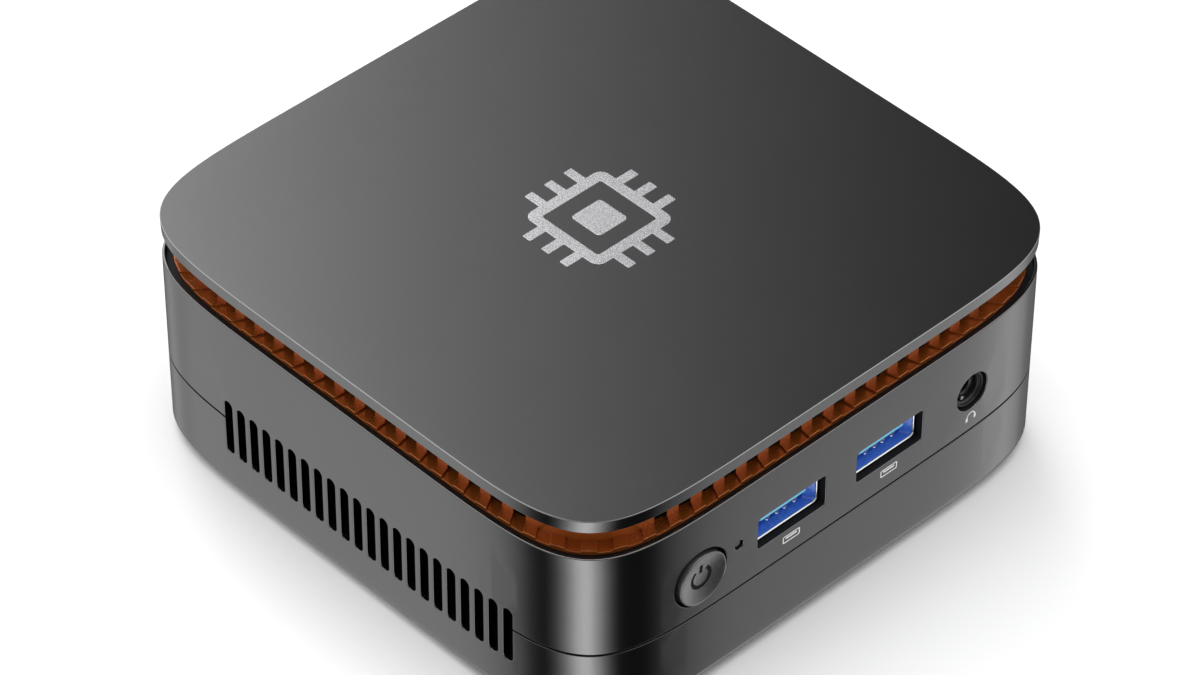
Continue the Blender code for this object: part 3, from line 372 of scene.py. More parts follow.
def make_piece(name, surfaces, materials, node, crease=38, covers=True):
    """Joins surfaces into one mesh with shared seams, faces pointing outwards and smooth corners
    where faces meet at less than the crease angle. Each surface may name its material by number. The
    piece rides with its node, and takes its place where it covers it."""
    points, faces, chosen, offset = [], [], [], 0
    for surface in surfaces:
        points.append(surface[0])
        faces.append(surface[1] + offset)
        chosen.append(np.full(len(surface[1]), surface[2] if len(surface) > 2 else 0))
        offset += len(surface[0])
    points, faces, chosen = np.vstack(points), np.vstack(faces), np.concatenate(chosen)
    _, first, joined = np.unique(
        np.round(points / (0.0005 * MM)), axis=0, return_index=True, return_inverse=True)
    points, faces = points[first], joined.reshape(-1)[faces]
    whole = (faces[:, 0] != faces[:, 1]) & (faces[:, 1] != faces[:, 2]) & (faces[:, 0] != faces[:, 2])
    faces, chosen = faces[whole], chosen[whole]

    mesh = bpy.data.meshes.new(name)
    mesh.from_pydata(points.tolist(), [], faces.tolist())
    mesh.polygons.foreach_set("material_index", chosen.astype(np.int32))
    shape = bmesh.new()
    shape.from_mesh(mesh)
    bmesh.ops.recalc_face_normals(shape, faces=shape.faces)
    shape.to_mesh(mesh)
    shape.free()
    corner = np.empty(len(mesh.loops), np.int32)
    mesh.loops.foreach_get("vertex_index", corner)
    mesh.polygons.foreach_set("use_smooth", np.ones(len(mesh.polygons), bool))
    normals = corner_normals(points, corner.reshape(-1, 3), math.radians(crease))
    mesh.normals_split_custom_set(normals.tolist())
    for material in materials:
        mesh.materials.append(material)
    made = bpy.data.objects.new(name, mesh)
    bpy.context.scene.collection.objects.link(made)
    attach(made, BODY_OF[node])
    if covers:
        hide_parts(node)
    return made


# ---------------------------------------------------------------- finishes


def give(tree, node, values):
    """Sets a node's sockets, each to a number or a colour, or links another socket to it."""
    for key, value in values.items():
        if isinstance(value, bpy.types.NodeSocket):
            tree.links.new(value, node.inputs[key])
        else:
            node.inputs[key].default_value = value


def add_node(tree, kind, values=None, **settings):
    """A node with its settings and the values of its sockets."""
    node = tree.nodes.new(kind)
    for key, value in settings.items():
        setattr(node, key, value)
    give(tree, node, values or {})
    return node


def blend_colours(tree, share, first, second):
    """The colour between two, by a share that may be a socket."""
    return add_node(tree, "ShaderNodeMix", {0: share, 6: first, 7: second}, data_type="RGBA").outputs[2]


def remapped(tree, value, from_low, from_high, to_low, to_high):
    """A value carried from one range to another."""
    return add_node(tree, "ShaderNodeMapRange", {
        "Value": value, "From Min": from_low, "From Max": from_high,
        "To Min": to_low, "To Max": to_high}).outputs["Result"]


def soft_step(tree, value, low, high):
    """0 below a low value and 1 above a high one, with an S-shaped rise between."""
    return add_node(tree, "ShaderNodeMapRange", {
        "Value": value, "From Min": low, "From Max": high},
        interpolation_type="SMOOTHSTEP").outputs[0]


def arithmetic(tree, operation, first, second=0.0, third=0.0):
    """One sum on values or sockets."""
    return add_node(
        tree, "ShaderNodeMath", {0: first, 1: second, 2: third}, operation=operation).outputs[0]


def noise(tree, vector, scale, detail, roughness=0.5):
    """Soft noise over a vector, 0 to 1."""
    return add_node(tree, "ShaderNodeTexNoise", {
        "Vector": vector, "Scale": scale, "Detail": detail, "Roughness": roughness}).outputs[0]


def raised(tree, height, distance):
    """The direction of a surface that a height from 0 to 1 raises by a distance."""
    return add_node(tree, "ShaderNodeBump", {
        "Height": height, "Strength": 1.0, "Distance": distance}).outputs["Normal"]


def new_group(name, inputs, outputs):
    """An empty node group with named sockets, and its input and output nodes."""
    group = bpy.data.node_groups.new(name, "ShaderNodeTree")
    for label, kind, default in inputs:
        socket = group.interface.new_socket(label, in_out="INPUT", socket_type=kind)
        if default is not None:
            socket.default_value = default
    for label, kind in outputs:
        group.interface.new_socket(label, in_out="OUTPUT", socket_type=kind)
    return group, group.nodes.new("NodeGroupInput").outputs, group.nodes.new("NodeGroupOutput").inputs


def effect_group(brushed):
    """A shared effect that tints the colour, varies the roughness and raises the surface: fine grain
    from two sizes of noise, or brushed lines from noise drawn out along one way of the vector."""
    name = "Brushed lines" if brushed else "Fine grain"
    if name in bpy.data.node_groups:
        return bpy.data.node_groups[name]
    number = "NodeSocketFloat"
    pattern = ("Size", number, 0.0003)
    if brushed:
        pattern = ("Stretch", "NodeSocketVector", (40.0, 2500.0, 2500.0))
    group, given, wanted = new_group(name, [
        ("Vector", "NodeSocketVector", None), ("Colour", "NodeSocketColor", (0.1, 0.1, 0.1, 1)),
        pattern, ("Tint", number, 0.15), ("Roughness", number, 0.4), ("Spread", number, 0.05),
    ], [("Colour", "NodeSocketColor"), ("Roughness", number), ("Height", number)])
    if brushed:
        lines = add_node(group, "ShaderNodeVectorMath", {0: given["Vector"], 1: given["Stretch"]},
                         operation="MULTIPLY").outputs[0]
        fine = noise(group, lines, 1.0, 4.0, 0.65)
        swing = remapped(group, fine, 0.3, 0.7, -1.0, 1.0)
    else:
        scale = arithmetic(group, "DIVIDE", 1.0, given["Size"])
        fine = noise(group, given["Vector"], scale, 2.0, 0.6)
        wide = noise(group, given["Vector"], 55.0, 3.0)
        mixed = arithmetic(group, "MULTIPLY_ADD", wide, 0.6, arithmetic(group, "MULTIPLY", fine, 0.4))
        swing = remapped(group, mixed, 0.35, 0.65, -1.0, 1.0)
    bright = remapped(group, fine, 0.3, 0.7, arithmetic(group, "SUBTRACT", 1.0, given["Tint"]),
                      arithmetic(group, "ADD", 1.0, given["Tint"]))
    shade = add_node(
        group, "ShaderNodeVectorMath", {0: given["Colour"], "Scale": bright}, operation="SCALE")
    rough = arithmetic(group, "MULTIPLY_ADD", swing, given["Spread"], given["Roughness"])
    for label, socket in (("Colour", shade.outputs[0]), ("Roughness", rough), ("Height", fine)):
        group.links.new(socket, wanted[label])
    return group


def placed_effect(tree, brushed, values):
    """An effect group placed in a material with its values, where a value may be a socket to link."""
    effect = tree.nodes.new("ShaderNodeGroup")
    effect.node_tree = effect_group(brushed)
    give(tree, effect, values)
    return effect


def start_material(name):
    """A new material with its tree, its Principled shader and the piece's own coordinates."""
    material = bpy.data.materials.new(name)
    material.use_nodes = True
    tree = material.node_tree
    shader = tree.nodes["Principled BSDF"]
    coordinates = tree.nodes.new("ShaderNodeTexCoord").outputs["Object"]
    return material, tree, shader, coordinates


def surface_material(name, colour, roughness, metallic=0.0, tint=0.12, spread=0.05, size=0.3 * MM,
                     bump=0.02, coat=0.0, coat_roughness=0.1, specular=0.5, stretch=None):
    """A finish with grain, or with brushed lines where stretch gives their lengths."""
    material, tree, shader, coordinates = start_material(name)
    pattern = {"Stretch": stretch} if stretch else {"Size": size}
    effect = placed_effect(tree, bool(stretch), {
        "Vector": coordinates, "Colour": (*colour, 1), "Tint": tint, "Roughness": roughness,
        "Spread": spread, **pattern})
    give(tree, shader, {
        "Base Color": effect.outputs["Colour"], "Roughness": effect.outputs["Roughness"],
        "Normal": raised(tree, effect.outputs["Height"], bump * MM), "Metallic": metallic,
        "Coat Weight": coat, "Coat Roughness": coat_roughness, "Specular IOR Level": specular})
    return material


def finishes():
    """Each plain finish by name: colour, roughness, metallic, and what differs from the usual."""
    look = bpy.context.scene.mini_finishes
    return {
        "case paint": (look.case_colour, look.case_roughness, look.case_metallic, dict(
            tint=0.08, spread=0.006, size=0.16 * MM, bump=0.002)),
        # Near-black unpainted plastic inside the shells; on the deck channel, under the plate and
        # behind the seam its darkness is also painted shade.
        "raw shell plastic": ((0.01, 0.01, 0.011), 0.6, 0, dict(
            tint=0.2, size=0.5 * MM, bump=0.01, specular=0.25)),
        # Near-black walls inside the openings and in the seam gap: painted shade.
        "opening wall": ((0.008, 0.008, 0.008), 0.7, 0, dict(tint=0.15, bump=0.005, specular=0.2)),
        "plate satin": (look.plate_colour, look.plate_roughness, look.plate_metallic, dict(
            tint=0.07, spread=0.004, size=0.14 * MM, bump=0.002)),
        "plate edge": ((0.3, 0.305, 0.31), 0.35, 1, dict(
            tint=0.1, spread=0.04, stretch=(60, 60, 4000), bump=0.002)),
        "emblem foil": (look.emblem_colour, 0.27, 1, dict(
            tint=0.3, spread=0.03, size=0.2 * MM, bump=0.012)),
        "ring copper": (look.ring_colour, 0.26, 0.5, dict(
            tint=0.1, spread=0.02, size=0.4 * MM, bump=0.002, coat=0.6, coat_roughness=0.06)),
        "rubber": ((0.018, 0.018, 0.018), 0.85, 0, dict(
            tint=0.3, size=0.4 * MM, bump=0.05, specular=0.3)),
        "zinc": ((0.55, 0.56, 0.57), 0.32, 1, dict(size=0.5 * MM, bump=0.01)),
        "port nickel": ((0.86, 0.87, 0.88), 0.3, 1, dict(
            tint=0.06, stretch=(300, 2500, 2500), bump=0.003)),
        "port blue": (look.port_blue, 0.3, 0, dict(tint=0.05, size=0.5 * MM, bump=0.004, coat=0.4)),
        "tongue blue": (look.tongue_blue_painted_highlight, 0.35, 0, dict(tint=0.05, size=0.5 * MM, bump=0.004)),
        "contact gold": ((0.83, 0.66, 0.36), 0.25, 1, dict(tint=0.08, bump=0.004)),
        "black plastic": ((0.016, 0.016, 0.017), 0.42, 0, dict(tint=0.2, size=0.35 * MM, bump=0.012)),
        "white print": ((0.8, 0.8, 0.8), 0.5, 0, dict(tint=0.04, bump=0.004)),
        "clear rod": ((0.02, 0.02, 0.022), 0.15, 0, dict(
            tint=0.05, size=0.5 * MM, bump=0.002, coat=0.6)),
        "bare aluminium": ((0.62, 0.63, 0.64), 0.34, 1, dict(
            spread=0.08, stretch=(2500, 60, 2500), bump=0.006)),
        "copper wire": ((0.72, 0.36, 0.18), 0.3, 1, dict(
            tint=0.15, spread=0.08, stretch=(60, 60, 5000), bump=0.03)),
        "cable sheath": ((0.02, 0.02, 0.02), 0.45, 0, dict(tint=0.15, size=0.4 * MM, bump=0.01)),
        "green lamp": ((0.1, 0.35, 0.12), 0.25, 0, dict(coat=0.5)),
        "amber lamp": ((0.6, 0.33, 0.06), 0.25, 0, dict(coat=0.5)),
    }


def finish_named(*names):
    """The materials of those names, each made on first use."""
    made = []
    for name in names:
        found = bpy.data.materials.get(name)
        if not found and name == "circuit board":
            found = board_material(name)
        elif not found:
            colour, roughness, metallic, rest = finishes()[name]
            found = surface_material(name, colour, roughness, metallic, **rest)
        made.append(found)
    return made


def board_material(name):
    """Green board: copper traces under the mask where a grid of bent lines is thin."""
    material, tree, shader, coordinates = start_material(name)
    cells = add_node(tree, "ShaderNodeTexBrick", {
        "Vector": coordinates, "Scale": 260.0, "Mortar Size": 0.03, "Mortar Smooth": 0.1,
        "Brick Width": 0.9, "Row Height": 0.22}, offset=0.37)
    traces = cells.outputs["Fac"]
    colour = blend_colours(tree, traces, (0.008, 0.075, 0.03, 1), (0.03, 0.16, 0.07, 1))
    give(tree, shader, {
        "Base Color": colour, "Roughness": 0.35, "Normal": raised(tree, traces, 0.03 * MM)})
    return material


# ---------------------------------------------------------------- settings


def length(name, value, description):
    """A length setting, given in millimetres."""
    return FloatProperty(name=name, description=description, default=value * MM, unit="LENGTH")


def tone(name, value, description):
    """A colour setting."""
    return FloatVectorProperty(name=name, description=description, default=value, subtype="COLOR")


def share(name, value, description):
    """A setting between nothing and all."""
    return FloatProperty(name=name, description=description, default=value, subtype="FACTOR")


class MiniCaseSizes(bpy.types.PropertyGroup):
    """Sizes of the two shells."""

    wall: length("Wall", 1.6, "Thickness of the shells")
    rounding: length("Edge rounding", 0.16, "Radius along the seam and openings")
    rim_rounding: length("Rim rounding", 0.28, "Outer radius of the upper rim")
    seam: length("Seam height", 18.75, "Height of the parting line")
    seam_gap: length("Seam gap", 0.4, "Gap between the shells")
    slot_count: IntProperty(name="Vents", description="Upright slots in each side", default=22)
    slot_width: length("Vent width", 2.3, "Width of a slot")
    slot_pitch: length("Vent pitch", 3.63, "From one slot to the next")
    slot_middle: length("Vent row middle", -4.6, "Middle of the row, along Y")
    slot_bottom: length("Vent bottom", 10.4, "Lowest point of the slots")
    slot_top: length("Vent top", 23.3, "Highest point of the slots")


class MiniRingSizes(bpy.types.PropertyGroup):
    """Sizes of the vent ring."""

    teeth: IntProperty(name="Teeth", description="Teeth round the ring", default=80)
    wall_inset: length("Wall inset", 2.25, "From the outer edge to the wall")
    thickness: length("Wall thickness", 1.0, "Thickness of the upright wall")
    floor: length("Shelf height", 42.3, "Height of the shelf between the teeth")
    tooth_top: length("Tooth height", 42.75, "Height of the top of the teeth")
    edge: length("Edge", 0.14, "Rounding of the edges")


class MiniFinishes(bpy.types.PropertyGroup):
    """Colours and gloss."""

    case_colour: tone("Case", (0.15, 0.15, 0.153), "Metallic paint of the shells")
    case_roughness: share("Case roughness", 0.2, "Roughness of the paint")
    case_metallic: share("Case metallic", 1.0, "Metal flake in the paint")
    plate_colour: tone("Plate", (0.15, 0.15, 0.152), "Anodised top plate")
    plate_roughness: share("Plate roughness", 0.17, "Roughness of the plate")
    plate_metallic: share("Plate metallic", 1.0, "How metallic the plate is")
    emblem_colour: tone("Emblem", (0.62, 0.62, 0.64), "Silver foil")
    ring_colour: tone("Vent ring", (0.45, 0.118, 0.018), "Copper-orange ring")
    button_colour: tone("Button", (0.2, 0.2, 0.205), "Power button")
    port_blue: tone("Port blue", (0.05, 0.17, 0.75), "Liner of the USB ports")
    # Lighter than the port blue: a painted highlight on the tongue's front edge.
    tongue_blue_painted_highlight: tone("Tongue blue", (0.2, 0.66, 0.95), "Tongue of the USB ports")


class MiniStage(bpy.types.PropertyGroup):
    """Camera and light."""

    azimuth: FloatProperty(name="Azimuth", description="Where the camera stands, round the case",
                           default=math.radians(-43.84), subtype="ANGLE")
    elevation: FloatProperty(name="Elevation", description="How high the camera stands",
                             default=math.radians(41.71), subtype="ANGLE")
    roll: FloatProperty(name="Roll", description="Camera's lean", default=math.radians(0.25),
                        subtype="ANGLE")
    distance: FloatProperty(name="Distance", description="From the camera to its target",
                            default=0.99659, unit="LENGTH")
    lens: FloatProperty(name="Lens", description="Focal length in millimetres", default=156.61)
    light: FloatProperty(name="Light", description="Strength of the surrounding light", default=1.0)


# ---------------------------------------------------------------- shells


def vent_rows(case):
    """Ways along the outline of the slots' middles, for the left and the right side."""
    half_span = (case.slot_count - 1) / 2 * case.slot_pitch
    places = case.slot_middle + np.linspace(-half_span, half_span, case.slot_count)
    return [np.sort(CASE_LINE.station(side, places)) for side in ("left", "right")]


def parting_line(case, upper):
    """The shell's edge at the seam as (way along, height), and the direction out of the shell there:
    straight between the vent rows, and in and out round each slot. Bars of the upper shell part the
    slots, and end where the lower shell's half circles begin."""
    up = 1 if upper else -1
    level = case.seam + up * case.seam_gap / 2
    radius = case.slot_width / 2
    shoulder = case.slot_bottom + radius + (0.01 * MM if upper else 0)
    arc_level = case.slot_top - radius if upper else shoulder
    turn = np.linspace(np.pi, 0, 17)
    line, out, position = [], [], -1.0

    def add(x, z, out_x, out_z):
        x, z, out_x, out_z = np.broadcast_arrays(x, z, out_x, out_z)
        line.append(np.stack([x, z], -1).reshape(-1, 2))
        out.append(np.stack([out_x, out_z], -1).reshape(-1, 2))

    for centres in vent_rows(case):
        first, last = centres[0] - radius, centres[-1] + radius
        add(GRID[(GRID > position) & (GRID < first)], level, 0.0, float(-up))
        add(first, level, 1.0, float(-up))
        for centre in centres:
            if upper and centre != centres[0]:
                add(centre - radius, shoulder, 1.0, 0.0)
            add(centre + radius * np.cos(turn), arc_level + up * radius * np.sin(turn),
                -np.cos(turn), -up * np.sin(turn))
            if upper and centre != centres[-1]:
                add(centre + radius, shoulder, -1.0, 0.0)
        add(last, level, -1.0, float(-up))
        position = last
    add(GRID[GRID > position], level, 0.0, float(-up))
    return np.vstack(line), np.vstack(out)


def bend_to_wall(flat, depth=0.0):
    """Way along and height carried onto the wall, at a depth behind its face."""
    return CASE_LINE.at(flat[:, 0], depth, flat[:, 1])


def seam_walls(line, out, edge, wall, seam):
    """The walls along the parting line: case paint where they turn in and in the vents, and near-black
    painted shade on the faces of the seam gap between.
    """
    points, faces = edged(line, out, bend_to_wall, edge, [0.8 * MM, wall], around=False)
    # Faces in the seam gap take the near-black painted shade.
    gap = (np.abs(points[faces][..., 2] - seam) < 0.25 * MM).all(1)
    return [(points, faces[~gap], 0), (points, faces[gap], 2)]


def wall_opening(side, x, z, shape):
    """A closed line round a place on the front or rear wall, as (way along, height)."""
    line = np.stack([CASE_LINE.station(side, x + shape[:, 0]), z + shape[:, 1]], -1)
    return line if side == "front" else line[::-1]


def wall_openings():
    """The openings of the front and the rear wall, each round the middle of its node."""
    shapes = [
        ("front", "power_button", circle(6.4 * MM, 96)),
        ("front", "light_pipe", circle(1.05 * MM, 32)),
        ("front", "audio_jack", circle(4.2 * MM, 72)),
        ("rear", "dc_jack", circle(4.4 * MM, 64)),
    ]
    for index in (1, 2):
        shapes += [
            ("front", f"front_usb_{index}_shell", soft_rectangle(17.4 * MM, 7.4 * MM, 0.9 * MM, 8)),
            ("rear", f"rear_usb_{index}_shell", soft_rectangle(14.7 * MM, 7.3 * MM, 0.6 * MM)),
            ("rear", f"hdmi_shell_{index}", display_line(15.8 * MM, 6.4 * MM, 0.4 * MM)),
        ]
    shapes.append(("rear", "ethernet_jack", soft_rectangle(16.8 * MM, 14 * MM, 0.4 * MM)))
    return [wall_opening(side, middle(node).x, middle(node).z, shape) for side, node, shape in shapes]


def display_line(width, height, radius):
    """A flat rectangle whose two lower corners are cut off at a slant, all corners rounded."""
    w, h, slant = width / 2, height / 2, 1.6 * MM
    corners = [(slant - w, -h), (w - slant, -h), (w, slant - h), (w, h), (-w, h), (-w, slant - h)]
    return rounded([(u, v, radius) for u, v in corners], closed=True, steps=3)


class OBJECT_OT_mini_upper_shell(bpy.types.Operator):
    """Upper walls with the rim, the deck, the bars between the vents and the port openings"""

    bl_idname = "object.mini_upper_shell"
    bl_label = "Upper shell"

    def execute(self, context):
        case = context.scene.mini_case
        wall, (deck_bottom, deck_top) = case.wall, DECK
        line, out = parting_line(case, upper=True)
        rim_start = RIM - case.rim_rounding
        top, inner_top = on_level(GRID, rim_start), on_level(GRID, deck_bottom)
        openings = wall_openings()
        outs = [-out_of(loop) for loop in openings]
        edge = case.rounding
        sheet = filled(
            [np.vstack([line - edge * out, top[::-1]])]
            + [loop - edge * away for loop, away in zip(openings, outs)], bend_to_wall,
            rows_between((34.5, 38), (21, 24, 27, 31)))
        back = filled([np.vstack([line, inner_top[::-1]])] + openings,
                      lambda flat: bend_to_wall(flat, wall))
        surfaces = [sheet, (*back, 1)]
        surfaces += seam_walls(line, out, edge, wall, case.seam)
        for loop, away in zip(openings, outs):
            turn_in = edged(loop, away, bend_to_wall, edge, [])
            # Deep inside each opening the wall takes the near-black painted shade.
            deep = lattice(np.stack([bend_to_wall(loop, edge), bend_to_wall(loop, wall)]), around=True)
            surfaces += [turn_in, (*deep, 2)]
        rim = rounded([(0, rim_start, 0), (0, RIM, case.rim_rounding), (0.55 * MM, RIM, 0.12 * MM),
                       (0.8 * MM, deck_top, 0)])
        inner_edge = np.argmax(rim[:, 0] > 0.5 * MM)
        surfaces.append(along_case(rim[:inner_edge + 1]))
        # The rim's inside and the deck under the plate take the near-black inner plastic, which is also
        # painted shade there.
        surfaces.append((*along_case(rim[inner_edge:]), 1))
        edge_line = CASE_LINE.at(GRID, 0.8 * MM, deck_top)
        turn = np.arctan2(edge_line[:, 1], edge_line[:, 0])
        mouth = 28.5 * MM * np.stack([np.cos(turn), np.sin(turn)], -1)
        upper_mouth, lower_mouth = on_level(mouth, deck_top), on_level(mouth, deck_bottom)
        under = CASE_LINE.at(GRID, wall, deck_bottom)
        surfaces.append((*lattice(np.stack([edge_line, upper_mouth, lower_mouth, under])), 1))
        column = drawn([(0, 5.9, 0), (3, 5.9, 0.3), (3, 40.2, 0), (0, 40.2, 0)])
        surfaces += at_corners(column, COLUMN_REACH, 24, 1)
        materials = finish_named("case paint", "raw shell plastic", "opening wall")
        make_piece("upper_shell_surface", surfaces, materials, "upper_shell")
        return {"FINISHED"}


class OBJECT_OT_mini_lower_shell(bpy.types.Operator):
    """Tray with the lower walls, the rounded foot edge, the floor with its vents, and the inner lip"""

    bl_idname = "object.mini_lower_shell"
    bl_label = "Lower shell"

    def execute(self, context):
        case = context.scene.mini_case
        wall, edge = case.wall, case.rounding
        floor_top = FLOOR_LEVEL + wall
        foot_start, foot_depth = FLOOR_LEVEL + 1.9 * MM, 1.6 * MM
        line, out = parting_line(case, upper=False)
        bottom, inner_bottom = on_level(GRID, foot_start), on_level(GRID, floor_top)
        sheet = filled([np.vstack([bottom, (line - edge * out)[::-1]])], bend_to_wall,
                       rows_between((6, 8.6), (11.5, 14.5)))
        back = filled([np.vstack([inner_bottom, line[::-1]])], lambda flat: bend_to_wall(flat, wall))
        surfaces = [sheet, (*back, 1)]
        surfaces += seam_walls(line, out, edge, wall, case.seam)
        turn = np.linspace(0, np.pi / 2, 9)
        foot = np.stack([foot_depth * (1 - np.cos(turn)),
                         foot_start - (foot_start - FLOOR_LEVEL) * np.sin(turn)], -1)
        surfaces.append(along_case(foot))

        slot = soft_rectangle(15 * MM, 2 * MM, 0.99 * MM, 6)
        slots = [slot + (x, y) for x in (-18 * MM, 0, 18 * MM)
                 for y in (np.arange(8) - 3.5) * 5.4 * MM]
        feet = [circle(6.8 * MM, 64) + corner * FOOT_REACH for corner in CORNERS]
        bores = [circle(2.7 * MM, 40) + corner * COLUMN_REACH for corner in CORNERS]
        rest = CASE_LINE.at(GRID[:-1], foot_depth, 0)[:, :2]

        def bend(flat, depth=0.0):
            return on_level(flat, FLOOR_LEVEL + depth)

        small = 0.15 * MM
        holes = [(loop, wall, False) for loop in slots]
        holes += [(loop, 0.6 * MM, True) for loop in feet] + [(loop, 2.4 * MM, True) for loop in bores]
        surfaces.append(filled([rest] + [loop + small * out_of(loop) for loop, _, _ in holes], bend))
        for loop, depth, blind in holes:
            surfaces.append(edged(loop, -out_of(loop), bend, small, [depth]))
            if blind:
                cap = np.stack([bend(loop, depth), 0 * bend(loop) + bend(loop, depth).mean(0)])
                surfaces.append((*lattice(cap, around=True), 1))
        inner = CASE_LINE.at(GRID[:-1], wall, 0)[:, :2]
        surfaces.append((*filled([inner] + slots, lambda flat: bend(flat, wall)), 1))

        surfaces += at_corners(post(3.7 * MM, FLOOR_LEVEL + MM, 5.6 * MM), COLUMN_REACH, 32, 1)
        surfaces += at_corners(post(3 * MM, FLOOR_LEVEL + MM, 22.3 * MM), STAND_REACH, 24, 1)
        rows = vent_rows(case)
        radius = case.slot_width / 2 + 0.3 * MM
        # The lip behind the seam gap takes the near-black inner plastic, which is also painted shade
        # there.
        lip = drawn([(1.9, 16.5, 0.1), (2.9, 16.5, 0.1), (2.9, 20.3, 0.2), (1.9, 20.3, 0.2)],
                    closed=True, steps=2)
        lip = np.vstack([lip, lip[:1]])
        spans = [(rows[0][-1] + radius, rows[1][0] - radius),
                 (rows[1][-1] + radius, rows[0][0] - radius + CASE_LINE.length)]
        for start, end in spans:
            ways = np.linspace(start, end, 160) % CASE_LINE.length
            skin = CASE_LINE.at(ways[None], lip[:, 0, None], lip[:, 1, None])
            ends = [0 * skin[:, k:k + 1] + skin[:-1, k].mean(0) for k in (0, -1)]
            surfaces.append((*lattice(np.concatenate([ends[0], skin, ends[1]], 1)), 1))
        materials = finish_named("case paint", "raw shell plastic", "opening wall")
        make_piece("lower_shell_surface", surfaces, materials, "lower_shell")
        return {"FINISHED"}


# ---------------------------------------------------------------- plate, emblem and ring


class OBJECT_OT_mini_top_plate(bpy.types.Operator):
    """Top plate with its cut edge, and the sloping side below it"""

    bl_idname = "object.mini_top_plate"
    bl_label = "Top plate"

    def execute(self, context):
        bottom, top = 49.0 * MM, PLATE[1].z
        cut = [(0.02 * MM, top - 0.15 * MM), (0.14 * MM, top - 0.012 * MM)]
        side = rounded([(4 * MM, 50.25 * MM, 0), (4 * MM, bottom, 0.2 * MM),
                        (0.12 * MM, bottom, 0.1 * MM), (0.02 * MM, top - 0.15 * MM, 0)])
        surfaces = [(*along_case(side), 0), (*along_case(cut), 1)]
        edge_line = CASE_LINE.at(GRID, cut[-1][0], cut[-1][1])
        crown = CASE_LINE.at(GRID, 0.2 * MM, top)
        face = [edge_line, crown]
        for share in (0.9, 0.6, 0.3, 0.0):
            face.append(np.column_stack([crown[:, :2] * share, crown[:, 2]]))
        surfaces.append((*lattice(np.stack(face)), 0))
        # The inner ring and the bosses under the plate take the near-black inner plastic, which is also
        # painted shade there.
        inner = CASE_LINE.at(GRID, 4 * MM, 50.25 * MM)
        surfaces.append((*lattice(np.stack([inner, inner * (0, 0, 1)])), 2))
        surfaces += at_corners(post(3 * MM, 41.7 * MM, 50.4 * MM), BOSS_REACH, 24, 2)
        materials = finish_named("plate satin", "plate edge", "raw shell plastic")
        make_piece("top_plate_surface", surfaces, materials, "top_plate", crease=30)
        return {"FINISHED"}


class OBJECT_OT_mini_emblem(bpy.types.Operator):
    """Chip pictogram on the plate: a square frame with three pins a side, and its core"""

    bl_idname = "object.mini_emblem"
    bl_label = "Emblem"

    def execute(self, context):
        base, top, edge = PLATE[1].z + 0.005 * MM, PLATE[1].z + 0.14 * MM, 0.05 * MM
        half, reach, pin, pitch = 10 * MM, 14 * MM, 1 * MM, 5 * MM
        side = [(half, -half, 2 * MM)]
        for shift in (-pitch, 0, pitch):
            side += [(half, shift - pin, 0.15 * MM), (reach, shift - pin, 0.2 * MM),
                     (reach, shift + pin, 0.2 * MM), (half, shift + pin, 0.15 * MM)]
        corners = []
        for turn in range(4):
            c, s = round(math.cos(turn * math.pi / 2)), round(math.sin(turn * math.pi / 2))
            corners += [(c * u - s * v, s * u + c * v, radius) for u, v, radius in side]
        outer = rounded(corners, closed=True, steps=4)
        hole = soft_rectangle(15.2 * MM, 15.2 * MM, 0.6 * MM)
        core = soft_rectangle(7.6 * MM, 7.6 * MM, 0.8 * MM)

        def bend(flat, depth=0.0):
            return on_level(flat, top - depth)

        def bottom(flat, depth=0.0):
            return on_level(flat, base)

        frame_surfaces = [
            filled([outer - edge * out_of(outer), hole + edge * out_of(hole)], bend),
            edged(outer, out_of(outer), bend, edge, [top - base]),
            edged(hole, -out_of(hole), bend, edge, [top - base]),
            filled([outer, hole], bottom),
        ]
        foil = finish_named("emblem foil")
        make_piece("emblem_frame_surface", frame_surfaces, foil, "emblem_frame")
        core_surfaces = [
            filled([core - edge * out_of(core)], bend),
            edged(core, out_of(core), bend, edge, [top - base]),
            filled([core], bottom),
        ]
        make_piece("emblem_core_surface", core_surfaces, foil, "emblem_core")
        return {"FINISHED"}


